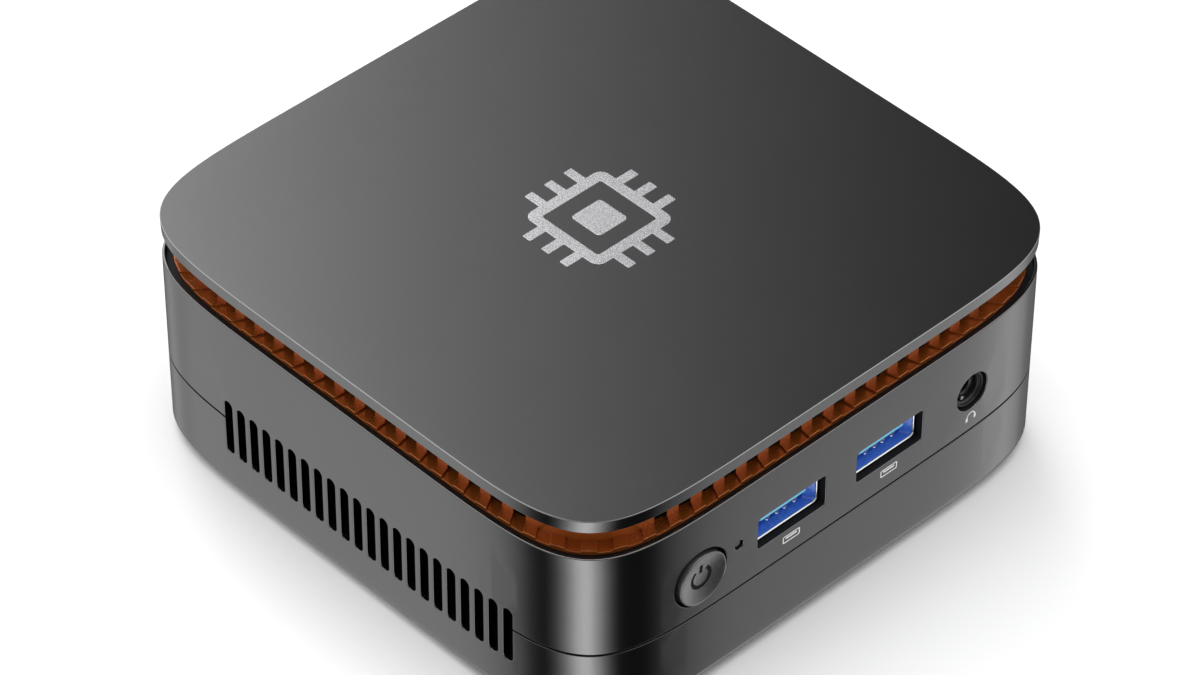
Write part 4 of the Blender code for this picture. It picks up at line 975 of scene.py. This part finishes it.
class OBJECT_OT_mini_vent_ring(bpy.types.Operator):
    """Castellated ring: a shelf with low teeth along its edge, and an upright wall behind them that
    is open between the teeth, except next to the corners"""

    bl_idname = "object.mini_vent_ring"
    bl_label = "Vent ring"

    def execute(self, context):
        ring = context.scene.mini_ring
        line = Outline(RING[1].x - RING[0].x)
        pitch = line.length / ring.teeth
        top, bottom = RING[1].z, RING[0].z
        wall, back = ring.wall_inset, ring.wall_inset + ring.thickness
        grid = line.stations(480)

        def bent(surface, way=0.0):
            """A shape made along x, inset y and height z, bent along the outline."""
            x, y, z = surface[0].T
            return line.scaled((x + way) % line.length, y, z), surface[1]

        shelf = rounded([
            (0.03 * MM, bottom, 0.05 * MM), (0.03 * MM, ring.floor, 0.1 * MM),
            (back, ring.floor, 0.1 * MM), (back, bottom, 0.05 * MM)], closed=True, steps=3)
        shelf = np.vstack([shelf, shelf[:1]])
        surfaces = [lattice(line.scaled(grid[None], shelf[:, 0, None], shelf[:, 1, None]))]
        foot = ring.floor - 0.25 * MM
        tooth = soft_box(
            (-pitch / 4, 0, foot), (pitch / 4, wall + 0.3 * MM, ring.tooth_top), ring.edge, 3)
        upright = soft_box((-pitch / 4, wall, foot), (pitch / 4, back - 0.02 * MM, top), ring.edge, 2)
        for index in range(ring.teeth):
            surfaces += [bent(tooth, index * pitch), bent(upright, index * pitch)]
        for corner in range(4):
            ways = np.linspace(-2, 2, 33) * pitch
            near, far, ledge = wall + 0.01 * MM, back - 0.03 * MM, top - 0.02 * MM
            across = rounded([(near, foot, 0), (near, ledge, 0.1 * MM), (far, ledge, 0.1 * MM),
                              (far, foot, 0)], closed=True, steps=2)
            skin = [(ways[None] + corner * line.length / 4) % line.length,
                    across[:, 0, None] + 0 * ways, across[:, 1, None] + 0 * ways]
            skin = line.scaled(*skin)
            surfaces.append(lattice(np.vstack([skin, skin[:1]])))
        make_piece("vent_ring_surface", surfaces, finish_named("ring copper"),
                   "vent_ring", crease=40)
        return {"FINISHED"}


# ---------------------------------------------------------------- front


def power_sign(x, z):
    """How deep the power sign is cut, 0 to 1: an arc open at the top, and a bar in its opening."""
    radius, angle = np.hypot(x, z), np.abs(np.arctan2(x, z))
    soft = 0.06 * MM

    def within(distance, width):
        return np.clip(0.5 + (width / 2 - np.abs(distance)) / soft, 0, 1)

    arc = within(radius - 2.2 * MM, 0.75 * MM)
    arc = arc * np.clip((angle - math.radians(38)) * 2 * MM / soft, 0, 1)
    bar = within(x, 0.75 * MM) * within(z - 2 * MM, 2.1 * MM)
    return np.maximum(arc, bar)


class OBJECT_OT_mini_power_button(bpy.types.Operator):
    """Dished button with the power sign cut in, its skirt and flange"""

    bl_idname = "object.mini_power_button"
    bl_label = "Power button"

    def execute(self, context):
        place = middle("power_button")
        front, radius, dish = BUTTON_BOX[0].y, 5.9 * MM, 0.8 * MM
        flat_radius = radius - 0.5 * MM
        r = np.linspace(0, flat_radius, 90)[:, None]
        turn = 2 * np.pi * np.arange(192) / 192
        x, z = r * np.cos(turn), r * np.sin(turn)
        y = dish * (1 - (r / flat_radius) ** 2) + 0.05 * MM + 0 * turn
        mark = power_sign(x, z)
        face = np.stack([x + place.x, front + y + 0.18 * MM * mark, z + place.z], -1)
        inner = lattice(face, around=True)
        side = rounded([
            (flat_radius, 0.05 * MM, 0), (flat_radius + 0.06 * MM, 0, 0.04 * MM),
            (radius - 0.16 * MM, 0, 0.16 * MM), (radius - 0.16 * MM, 2.4 * MM, 0.1 * MM),
            (radius, 2.6 * MM, 0.05 * MM), (radius, 2.9 * MM, 0.1 * MM),
            (radius + 1.1 * MM, 2.9 * MM, 0.1 * MM),
            (radius + 1.1 * MM, 3.6 * MM, 0.1 * MM), (2 * MM, 3.6 * MM, 0.1 * MM),
            (2 * MM, 5.2 * MM, 0.1 * MM), (0, 5.2 * MM, 0)], steps=5)
        skirt = turned(side, (place.x, front, place.z), "Y", 192)
        make_piece("power_button_surface", [inner, skirt], [button_material(place)],
                   "power_button", crease=50)
        return {"FINISHED"}


def button_material(place):
    """Silver-grey paint with a circular grain, and black in the cut of the power sign. The sign's
    mask repeats its shape: the distance from a ring and from a bar."""
    name = "button paint"
    if name in bpy.data.materials:
        return bpy.data.materials[name]
    look = bpy.context.scene.mini_finishes
    material, tree, shader, coordinates = start_material(name)
    split = add_node(tree, "ShaderNodeSeparateXYZ", {0: coordinates})
    x = arithmetic(tree, "SUBTRACT", split.outputs[0], place.x)
    z = arithmetic(tree, "SUBTRACT", split.outputs[2], place.z)
    radius = arithmetic(tree, "SQRT", arithmetic(
        tree, "ADD", arithmetic(tree, "MULTIPLY", x, x), arithmetic(tree, "MULTIPLY", z, z)))
    arc = arithmetic(tree, "COMPARE", radius, 2.2 * MM, 0.41 * MM)
    angle = arithmetic(tree, "ABSOLUTE", arithmetic(tree, "ARCTAN2", x, z))
    arc = arithmetic(tree, "MULTIPLY", arc, arithmetic(tree, "GREATER_THAN", angle, math.radians(37)))
    bar = arithmetic(tree, "MULTIPLY", arithmetic(tree, "COMPARE", x, 0.0, 0.41 * MM),
                     arithmetic(tree, "COMPARE", z, 2 * MM, 1.08 * MM))
    sign = arithmetic(tree, "MAXIMUM", arc, bar)
    polar = add_node(tree, "ShaderNodeCombineXYZ", {
        0: radius, 1: angle, 2: split.outputs[1]}).outputs[0]
    effect = placed_effect(tree, False, {
        "Vector": coordinates, "Colour": (*look.button_colour, 1), "Size": 0.22 * MM, "Tint": 0.3,
        "Roughness": 0.36, "Spread": 0.08})
    rings = noise(tree, polar, 2600.0, 2.0)
    height = arithmetic(tree, "MULTIPLY_ADD", rings, 0.3, effect.outputs["Height"])
    give(tree, shader, {
        "Base Color": blend_colours(tree, sign, effect.outputs["Colour"], (0.006, 0.006, 0.006, 1)),
        "Roughness": arithmetic(tree, "MAXIMUM", effect.outputs["Roughness"], sign),
        "Metallic": arithmetic(tree, "SUBTRACT", 0.9, arithmetic(tree, "MULTIPLY", sign, 0.9)),
        "Normal": raised(tree, height, 0.012 * MM)})
    return material


class OBJECT_OT_mini_status_light(bpy.types.Operator):
    """Clear rod behind the pinhole"""

    bl_idname = "object.mini_status_light"
    bl_label = "Status light"

    def execute(self, context):
        place, low, high = middle("light_pipe"), *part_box("light_pipe")
        radius = (high.x - low.x) / 2
        profile = rounded([(0, 0, 0), (radius, 0, 0.3 * MM), (radius, high.y - low.y, 0.1 * MM),
                           (0, high.y - low.y, 0)])
        rod = turned(profile, (place.x, low.y, place.z), "Y", 32)
        make_piece("light_pipe_surface", [rod], finish_named("clear rod"), "light_pipe")
        return {"FINISHED"}


class OBJECT_OT_mini_port_signs(bpy.types.Operator):
    """Plain printed pictograms under the ports: a socket outline, and a headphone"""

    bl_idname = "object.mini_port_signs"
    bl_label = "Port pictograms"

    def execute(self, context):
        proud = -0.012 * MM
        surfaces = []

        def bend(flat):
            return bend_to_wall(flat, proud)

        def printed(side_x, z, shapes):
            surfaces.append(filled([wall_opening("front", side_x, z, shape) for shape in shapes], bend))

        for index in (1, 2):
            x = middle(f"front_usb_{index}_shell").x
            outer = soft_rectangle(4.4 * MM, 1.7 * MM, 0.3 * MM)
            inner = soft_rectangle(3.9 * MM, 1.2 * MM, 0.15 * MM)
            printed(x, 22.9 * MM, [outer, inner])
            printed(x, 23.1 * MM, [soft_rectangle(2.9 * MM, 0.38 * MM, 0.05 * MM)])
        x = middle("audio_jack").x
        turn = np.linspace(0.02 * np.pi, 0.98 * np.pi, 24)
        arc = np.stack([np.cos(turn), np.sin(turn)], -1)
        band = np.vstack([arc * 1.25 * MM, arc[::-1] * 1.0 * MM])
        printed(x, 22.0 * MM, [band])
        for side in (-1, 1):
            cup = soft_rectangle(0.55 * MM, 1.05 * MM, 0.2 * MM)
            cup = cup + (side * 1.12 * MM, -0.25 * MM)
            printed(x, 22.0 * MM, [cup])
        make_piece("port_pictograms", surfaces, finish_named("white print"),
                   "upper_shell", covers=False)
        return {"FINISHED"}


# ---------------------------------------------------------------- sockets


def usb_port(name, facing):
    """A port in three parts: a nickel sleeve that shows as a thin lip, a blue funnel and liner, and
    the tongue with its contacts. facing is -1 for a front port and 1 for a rear one."""
    low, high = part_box(f"{name}_shell")
    place = middle(f"{name}_shell")
    mouth = low.y if facing < 0 else high.y
    width, height = high.x - low.x, high.z - low.z
    into = -facing
    depth = high.y - low.y
    lip = 0.27 * MM
    body_width, body_height = 13.9 * MM, 6.5 * MM

    def line(w, h, radius):
        return soft_rectangle(w, h, radius) + np.array([place.x, place.z])

    sleeve = []
    for angle in np.radians([0, 22.5, 45, 67.5, 90]):
        inset = lip * np.cos(angle)
        sleeve.append((line(width - 2 * inset, height - 2 * inset, 0.8 * MM - inset),
                       lip / MM * (1 - np.sin(angle))))
    sleeve += [
        (line(width, height, 0.8 * MM), 0.5), (line(body_width, body_height, 0.6 * MM), 1.4),
        (line(body_width, body_height, 0.6 * MM), depth / MM),
        (line(body_width - 0.6 * MM, body_height - 0.6 * MM, 0.4 * MM), depth / MM),
    ]
    skin = swept([(flat, mouth + into * level * MM) for flat, level in sleeve], "Y", ends=False)
    back = sleeve[-1][0]
    cap = swept([(flat, mouth + into * depth) for flat in (back, 0 * back + back.mean(0))], ends=False)
    make_piece(f"{name}_sleeve", [skin, cap],
               finish_named("port nickel"), f"{name}_shell")

    funnel = [
        (line(width - 2 * lip, height - 2 * lip, 0.46 * MM), 0.32),
        (line(width - 2.3 * lip, height - 2.3 * lip, 0.45 * MM), 0.4),
        (line(12.9 * MM, 5.5 * MM, 0.35 * MM), 1.75), (line(12.5 * MM, 5.12 * MM, 0.3 * MM), 2.1),
        (line(12.5 * MM, 5.12 * MM, 0.3 * MM), 11.0),
        (line(12.5 * MM, 5.12 * MM, 0.3 * MM) * 0 + [place.x, place.z], 11.0),
    ]
    liner = swept([(flat, mouth + into * level * MM) for flat, level in funnel], "Y", ends=False)
    tip, root = 0.55 * MM, 11.2 * MM
    ends = sorted((mouth + into * tip, mouth + into * root))
    tongue_z = place.z + 0.95 * MM
    # The tongue takes the lighter blue: a painted highlight on its front edge.
    tongue = soft_box((place.x - 5.9 * MM, ends[0], tongue_z - 0.92 * MM),
                      (place.x + 5.9 * MM, ends[1], tongue_z + 0.92 * MM), 0.2 * MM)
    surfaces = [liner, (*tongue, 1)]
    for shift in (-3.5 * MM, -1.0 * MM, 1.0 * MM, 3.5 * MM):
        share = np.linspace(0, 1, 15)
        dip = 1.6 * np.sin(np.pi * share) ** 2 * MM
        route = np.stack([np.full(15, place.x + shift), mouth + into * (0.9 + 1.7 * share ** 1.6) * MM,
                          tongue_z - 0.7 * MM - dip], -1)
        surfaces.append((*tube(route, 0.34 * MM, 10), 2))
    materials = finish_named("port blue", "tongue blue", "port nickel")
    make_piece(f"{name}_liner", surfaces, materials, f"{name}_insert")


class OBJECT_OT_mini_usb_ports(bpy.types.Operator):
    """The two USB ports in the front and the two in the rear"""

    bl_idname = "object.mini_usb_ports"
    bl_label = "USB ports"

    def execute(self, context):
        for index in (1, 2):
            usb_port(f"front_usb_{index}", -1)
            usb_port(f"rear_usb_{index}", 1)
        return {"FINISHED"}


class OBJECT_OT_mini_audio_jack(bpy.types.Operator):
    """Headphone jack: a black stepped collar with its metal contact spring, and a black bush inside it
    """

    bl_idname = "object.mini_audio_jack"
    bl_label = "Headphone jack"

    def execute(self, context):
        place, start = middle("audio_jack"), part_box("audio_jack")[0].y
        collar = drawn([
            (2.9, 14, 0), (2.9, 0.7, 0.15), (3.3, 0.5, 0.1), (3.35, 0, 0.12), (3.85, 0, 0.15),
            (3.85, 2.6, 0), (5, 2.6, 0.2), (5, 4.4, 0.2), (3.8, 4.4, 0), (3.8, 14, 0.1), (2.9, 14, 0)])
        tip = [[place.x - MM, start + depth * MM, place.z - 2 * MM] for depth in (0.8, 1.2, 1.6)]
        surfaces = [turned(collar, (place.x, start, place.z), "Y", 96), (*tube(tip, 0.42 * MM, 16), 1)]
        make_piece("audio_jack_surface", surfaces,
                   finish_named("black plastic", "port nickel"), "audio_jack")
        bush = drawn([(1.8, 13, 0), (1.8, 1.9, 0.1), (2.1, 1.6, 0.1), (2.75, 1.6, 0.1),
                      (2.75, 13, 0.1), (1.8, 13, 0)])
        make_piece("audio_bush_surface", [turned(bush, (place.x, start, place.z), "Y", 72)],
                   finish_named("black plastic"), "audio_bush")
        return {"FINISHED"}


class OBJECT_OT_mini_power_inlet(bpy.types.Operator):
    """Round power socket with its centre pin"""

    bl_idname = "object.mini_power_inlet"
    bl_label = "Power inlet"

    def execute(self, context):
        place, mouth = middle("dc_jack"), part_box("dc_jack")[1].y
        body = drawn([(0, 10, 0), (3.1, 10, 0.2), (3.1, 0, 0.25), (4.1, 0, 0.2), (4.1, 11, 0.2),
                      (0, 11, 0)])
        make_piece("dc_jack_surface", [turned(body, (place.x, mouth, place.z), "Y", 72, flip=-1)],
                   finish_named("black plastic"), "dc_jack")
        low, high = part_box("dc_pin")
        length = high.y - low.y
        pin = rounded([(0, 0, 0), (0.9 * MM, 0, 0.5 * MM), (0.9 * MM, length, 0), (0, length, 0)])
        make_piece("dc_pin_surface", [turned(pin, (place.x, high.y, place.z), "Y", 32, flip=-1)],
                   finish_named("port nickel"), "dc_pin")
        return {"FINISHED"}


class OBJECT_OT_mini_display_ports(bpy.types.Operator):
    """Two display sockets: rolled metal sleeves and black tongues with their contacts"""

    bl_idname = "object.mini_display_ports"
    bl_label = "Display sockets"

    def execute(self, context):
        for index in (1, 2):
            place = middle(f"hdmi_shell_{index}")
            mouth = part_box(f"hdmi_shell_{index}")[1].y
            shift = np.array([place.x, place.z])
            outer, inner = (14.8 * MM, 5.35 * MM), (14 * MM, 4.55 * MM)
            profile = [(inner, 11.5), (inner, 0.12), ((14.2 * MM, 4.75 * MM), 0.0),
                       ((14.6 * MM, 5.15 * MM), 0.0), (outer, 0.12), (outer, 11.5), (inner, 11.5)]
            rows = [(display_line(*size, 0.35 * MM) + shift, mouth - level * MM)
                    for size, level in profile]
            make_piece(f"hdmi_sleeve_{index}", [swept(rows, "Y", ends=False)],
                       finish_named("port nickel"), f"hdmi_shell_{index}")
            low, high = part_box(f"hdmi_tongue_{index}")
            back = display_line(13.8 * MM, 4.35 * MM, 0.3 * MM) + shift
            block = swept([(back, mouth - 11.3 * MM), (back, mouth - 9 * MM)], "Y")
            bar = soft_box((place.x - 5.6 * MM, mouth - 9.5 * MM, place.z - 0.45 * MM),
                           (place.x + 5.6 * MM, high.y, place.z + 0.85 * MM), 0.18 * MM)
            surfaces = [block, bar]
            for k in range(10):
                x = place.x + (k - 4.5) * MM
                for z in (place.z - 0.46 * MM, place.z + 0.86 * MM):
                    contact = soft_box((x - 0.16 * MM, mouth - 9 * MM, z - 0.05 * MM),
                                       (x + 0.16 * MM, high.y - 0.5 * MM, z + 0.05 * MM), 0.04 * MM, 1)
                    surfaces.append((*contact, 1))
            make_piece(f"hdmi_bar_{index}", surfaces, finish_named("black plastic", "contact gold"),
                       f"hdmi_tongue_{index}")
        return {"FINISHED"}


class OBJECT_OT_mini_network_port(bpy.types.Operator):
    """Network socket: a metal box with a stepped mouth, its eight contact wires and two lamps"""

    bl_idname = "object.mini_network_port"
    bl_label = "Network socket"

    def execute(self, context):
        low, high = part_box("ethernet_jack")
        x, mouth = (low.x + high.x) / 2, high.y
        z = (low.z + high.z) / 2
        plug_low, plug_high, latch = z - 3.5 * MM, z + 4.7 * MM, z - 5.6 * MM
        half, latch_half, step_half = 5.9 * MM, 3.0 * MM, 4.2 * MM
        corners = [(-latch_half, latch), (latch_half, latch), (latch_half, plug_low), (half, plug_low),
                   (half, plug_high), (-half, plug_high), (-half, plug_low), (-latch_half, plug_low)]
        opening = rounded([(u, v, 0.15 * MM) for u, v in corners], closed=True, steps=3)
        opening = opening + np.array([x, 0])
        outer = soft_rectangle(high.x - low.x, high.z - low.z, 0.5 * MM) + np.array([x, z])

        def bend(flat, depth=0.0):
            return np.column_stack([flat[:, 0], np.full(len(flat), mouth - depth), flat[:, 1]])

        edge, depth = 0.15 * MM, 14 * MM
        surfaces = [
            filled([outer - edge * out_of(outer), opening + edge * out_of(opening)], bend),
            edged(outer, out_of(outer), bend, edge, [high.y - low.y]),
            (*edged(opening, -out_of(opening), bend, edge, [depth]), 1),
            (*filled([opening], lambda flat: bend(flat, depth)), 1),
            filled([outer], lambda flat: bend(flat, high.y - low.y)),
        ]
        for k in range(8):
            share = np.linspace(0, 1, 9)
            wire_x = x + (k - 3.5) * 1.02 * MM
            route = np.stack([np.full(9, wire_x), mouth - (3.5 + 9 * share) * MM,
                              plug_high - (0.5 + 2.8 * share) * MM], -1)
            surfaces.append((*tube(route, 0.17 * MM, 8), 2))
        for side, slot_index in ((-1, 3), (1, 4)):
            lamp_x = x + side * 6.9 * MM
            lamp = soft_box((lamp_x - 0.7 * MM, mouth - 1.2 * MM, z - 5.6 * MM),
                            (lamp_x + 0.7 * MM, mouth, z - 4 * MM), 0.15 * MM)
            surfaces.append((*lamp, slot_index))
        materials = finish_named(
            "port nickel", "black plastic", "contact gold", "green lamp", "amber lamp")
        make_piece("ethernet_jack_surface", surfaces, materials, "ethernet_jack")
        return {"FINISHED"}


# ---------------------------------------------------------------- feet, screws and inner parts


class OBJECT_OT_mini_feet(bpy.types.Operator):
    """Rubber feet with a rounded edge and a shallow hollow"""

    bl_idname = "object.mini_feet"
    bl_label = "Rubber feet"

    def execute(self, context):
        for index in (1, 2, 3, 4):
            name = f"rubber_foot_{index}"
            low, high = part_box(name)
            radius, height = (high.x - low.x) / 2, high.z - low.z
            profile = rounded([
                (0, 0.25 * MM, 0), (radius - 2 * MM, 0.25 * MM, 0.5 * MM),
                (radius - 1.6 * MM, 0, 0.2 * MM), (radius - 0.3 * MM, 0, 0.5 * MM),
                (radius, 0.9 * MM, 0.4 * MM), (radius, height, 0.1 * MM), (0, height, 0)], steps=5)
            place = middle(name)
            surface = turned(profile, (place.x, place.y, low.z), "Z", 72)
            make_piece(f"{name}_surface", [surface], finish_named("rubber"), name)
        return {"FINISHED"}


class OBJECT_OT_mini_screws(bpy.types.Operator):
    """Screws: a domed head with a cross recess, over a plain shank"""

    bl_idname = "object.mini_screws"
    bl_label = "Screws"

    def execute(self, context):
        heads = {"base_screw": -1, "plate_screw": -1, "board_screw": 1, "fan_screw": 1}
        for name in sorted(frame["nodes"]):
            kind = name.rsplit("_", 1)[0]
            if kind not in heads:
                continue
            up = heads[kind]
            low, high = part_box(name)
            place = middle(name)
            radius, length = (high.x - low.x) / 2, high.z - low.z
            top = high.z if up > 0 else low.z
            r = radius * 0.8 * np.linspace(0, 1, 18)[:, None]
            turn = 2 * np.pi * np.arange(48) / 48
            x, y = r * np.cos(turn), r * np.sin(turn)
            arm = 0.2 * radius
            across = (np.abs(x) < arm) & (np.abs(y) < 0.62 * radius)
            along = (np.abs(y) < arm) & (np.abs(x) < 0.62 * radius)
            sunk = np.where(across | along, 0.55 * radius * (1 - r / radius), 0)
            dome = 0.08 * radius * (r / radius) ** 2
            face = np.stack([x + place.x, y + place.y, top - up * (sunk + dome)], -1)
            shank, head = 0.55 * radius, 0.6 * radius
            profile = rounded([
                (0.8 * radius, 0.08 * 0.64 * radius, 0), (radius, 0.22 * radius, 0.1 * radius),
                (radius, head, 0.04 * MM), (shank, head, 0), (shank, length - shank, 0),
                (0, length, 0)])
            shaft = turned(profile, (place.x, place.y, top), "Z", 48, -up)
            surfaces = [lattice(face, around=True), shaft]
            make_piece(f"{name}_surface", surfaces, finish_named("zinc"), name)
        return {"FINISHED"}


class OBJECT_OT_mini_inner_parts(bpy.types.Operator):
    """Finishes for the board, cards, cooling, switch and leads, whose shapes stay as they are"""

    bl_idname = "object.mini_inner_parts"
    bl_label = "Inner parts"

    def execute(self, context):
        finishes = {
            "circuit board": ["main_board", "memory_card", "drive_card"],
            "black plastic": ["power_switch", "switch_plunger", "processor", "memory_socket",
                              "drive_socket", "fan_frame", "fan_rotor"],
            "zinc": ["radio_module", "backup_cell"],
            "bare aluminium": ["heat_sink"],
            "copper wire": ["fan_coil", "aerial"],
            "cable sheath": ["fan_lead", "aerial_lead"],
        }
        for finish, nodes in finishes.items():
            for name in nodes:
                materials = frame["nodes"][name].data.materials
                materials.clear()
                materials.append(*finish_named(finish))
        return {"FINISHED"}


# ---------------------------------------------------------------- stage


def plain_object(name, data):
    """An object of the stage, linked to the scene."""
    made = bpy.data.objects.new(name, data)
    bpy.context.scene.collection.objects.link(made)
    return made


# Brightness of the surroundings by compass direction in degrees, anticlockwise from +X: low down,
# where the walls look, and higher up, where the plate and the bevels look.
LOW_LIGHT = (
    (0, 0.35), (22, 0.18), (46, 0.05), (58, 0.1), (68, 0.2), (80, 0.42), (92, 0.72), (105, 0.62),
    (120, 0.93), (128, 1.0), (140, 0.72), (147, 0.4), (156, 0.08), (168, 0.02), (178, 0.2),
    (188, 0.65), (198, 1.4), (208, 2.3), (217, 2.75), (225, 2.65), (238, 1.5), (250, 0.62),
    (257, 0.24), (266, 0.03), (295, 0.02), (310, 0.32), (317, 0.6), (323, 0.98), (334, 1.35),
    (346, 0.85),
)
HIGH_LIGHT = (
    (0, 0.25), (20, 0.0), (37, 0.02), (41, 0.1), (45, 0.3), (49, 0.75), (53, 1.6), (57, 2.6), (64, 3.2),
    (78, 2.4), (96, 1.4), (150, 1.3), (172, 0.8), (190, 0.35), (255, 0.3), (285, 0.8), (305, 1.5),
    (340, 0.9),
)
LIGHT_TOP = 4.0


def light_ramp(tree, share, stops):
    """Brightness from a share of the full turn, through (degrees, brightness) stops."""
    node = add_node(tree, "ShaderNodeValToRGB", {"Fac": share})
    ramp = node.color_ramp
    ramp.interpolation = "EASE"
    first = stops[0][1] / LIGHT_TOP
    for element, place in zip(ramp.elements, (0, 1)):
        element.position, element.color = place, (first, first, first, 1)
    for degrees, value in stops[1:]:
        level = value / LIGHT_TOP
        ramp.elements.new(degrees / 360).color = (level, level, level, 1)
    return node.outputs["Color"]


def studio_world(strength):
    """A studio: bright and dark bands round the horizon that differ below and above it, a soft light
    overhead, and plain white where the camera looks straight at it."""
    world = bpy.data.worlds.new("studio")
    world.use_nodes = True
    tree = world.node_tree
    direction = tree.nodes.new("ShaderNodeTexCoord").outputs["Generated"]
    split = add_node(tree, "ShaderNodeSeparateXYZ", {0: direction})
    turn = arithmetic(tree, "ARCTAN2", split.outputs[1], split.outputs[0])
    share = arithmetic(tree, "FRACT", arithmetic(tree, "ADD", arithmetic(
        tree, "DIVIDE", turn, 2 * math.pi), 1.0))
    height = split.outputs[2]
    low, high = light_ramp(tree, share, LOW_LIGHT), light_ramp(tree, share, HIGH_LIGHT)
    colour = blend_colours(tree, soft_step(tree, height, -0.3, 0.1), low, high)
    colour = blend_colours(tree, soft_step(tree, height, 0.84, 0.94), colour, (0.8, 0.8, 0.8, 1))
    straight = tree.nodes.new("ShaderNodeLightPath").outputs["Is Camera Ray"]
    white = 1 / LIGHT_TOP
    colour = blend_colours(tree, straight, colour, (white, white, white, 1))
    background = tree.nodes["Background"]
    tree.links.new(colour, background.inputs["Color"])
    background.inputs["Strength"].default_value = LIGHT_TOP * strength
    return world


class OBJECT_OT_mini_stage(bpy.types.Operator):
    """Pale floor, soft surrounding light and the camera"""

    bl_idname = "object.mini_stage"
    bl_label = "Stage"

    def execute(self, context):
        scene, stage = context.scene, context.scene.mini_stage
        floor = bpy.data.meshes.new("floor")
        size = 6.0
        floor.from_pydata([(-size, -size, 0), (size, -size, 0), (size, size, 0), (-size, size, 0)],
                          [], [(0, 1, 2, 3)])
        ground = plain_object("floor", floor)
        material, tree, shader, _ = start_material("pale floor")
        give(tree, shader, {
            "Base Color": (0.92, 0.92, 0.92, 1), "Roughness": 0.9, "Specular IOR Level": 0.1})
        floor.materials.append(material)
        ground.visible_glossy = False

        scene.world = studio_world(stage.light)

        az, el = stage.azimuth, stage.elevation
        back = Vector((math.sin(az) * math.cos(el), -math.cos(az) * math.cos(el), math.sin(el)))
        right = Vector((math.cos(az), math.sin(az), 0))
        up = back.cross(right)
        target = Vector((0, 0, 13.847 * MM)) + right * 0.19 * MM + up * 6.04 * MM
        leaned_right = math.cos(stage.roll) * right + math.sin(stage.roll) * up
        leaned_up = math.cos(stage.roll) * up - math.sin(stage.roll) * right
        camera_data = bpy.data.cameras.new("camera")
        camera_data.lens = stage.lens
        camera_data.sensor_width = 36
        camera_data.clip_start, camera_data.clip_end = 0.05, 50
        camera = plain_object("camera", camera_data)
        turn = Matrix((leaned_right, leaned_up, back)).transposed().to_4x4()
        camera.matrix_world = Matrix.Translation(target + back * stage.distance) @ turn
        scene.camera = camera
        scene.view_settings.view_transform = "Standard"
        return {"FINISHED"}


class VIEW3D_PT_mini_pc(bpy.types.Panel):
    """Lists the steps that build the computer"""

    bl_label = "Mini PC"
    bl_idname = "VIEW3D_PT_mini_pc"
    bl_space_type = "VIEW_3D"
    bl_region_type = "UI"
    bl_category = "Mini PC"

    def draw(self, context):
        for settings in (context.scene.mini_case, context.scene.mini_ring,
                         context.scene.mini_finishes, context.scene.mini_stage):
            box = self.layout.box()
            for key in settings.bl_rna.properties.keys():
                if key not in ("rna_type", "name"):
                    box.prop(settings, key)
        for step in STEPS:
            self.layout.operator(step.bl_idname)


STEPS = (
    OBJECT_OT_mini_upper_shell,
    OBJECT_OT_mini_lower_shell,
    OBJECT_OT_mini_top_plate,
    OBJECT_OT_mini_emblem,
    OBJECT_OT_mini_vent_ring,
    OBJECT_OT_mini_power_button,
    OBJECT_OT_mini_status_light,
    OBJECT_OT_mini_port_signs,
    OBJECT_OT_mini_usb_ports,
    OBJECT_OT_mini_audio_jack,
    OBJECT_OT_mini_power_inlet,
    OBJECT_OT_mini_display_ports,
    OBJECT_OT_mini_network_port,
    OBJECT_OT_mini_feet,
    OBJECT_OT_mini_screws,
    OBJECT_OT_mini_inner_parts,
    OBJECT_OT_mini_stage,
)
SETTINGS = {
    "mini_case": MiniCaseSizes,
    "mini_ring": MiniRingSizes,
    "mini_finishes": MiniFinishes,
    "mini_stage": MiniStage,
}


def register():
    for kind in (*SETTINGS.values(), *STEPS, VIEW3D_PT_mini_pc):
        bpy.utils.register_class(kind)
    for name, kind in SETTINGS.items():
        setattr(bpy.types.Scene, name, PointerProperty(type=kind))


def unregister():
    for name in SETTINGS:
        delattr(bpy.types.Scene, name)
    for kind in (VIEW3D_PT_mini_pc, *reversed(STEPS), *SETTINGS.values()):
        bpy.utils.unregister_class(kind)


def main():
    register()
    for old in [o for o in bpy.data.objects if o.name in ("Cube", "Light", "Camera")]:
        bpy.data.objects.remove(old, do_unlink=True)
    for step in STEPS:
        group, name = step.bl_idname.split(".")
        getattr(getattr(bpy.ops, group), name)()


if __name__ == "__main__":
    main()
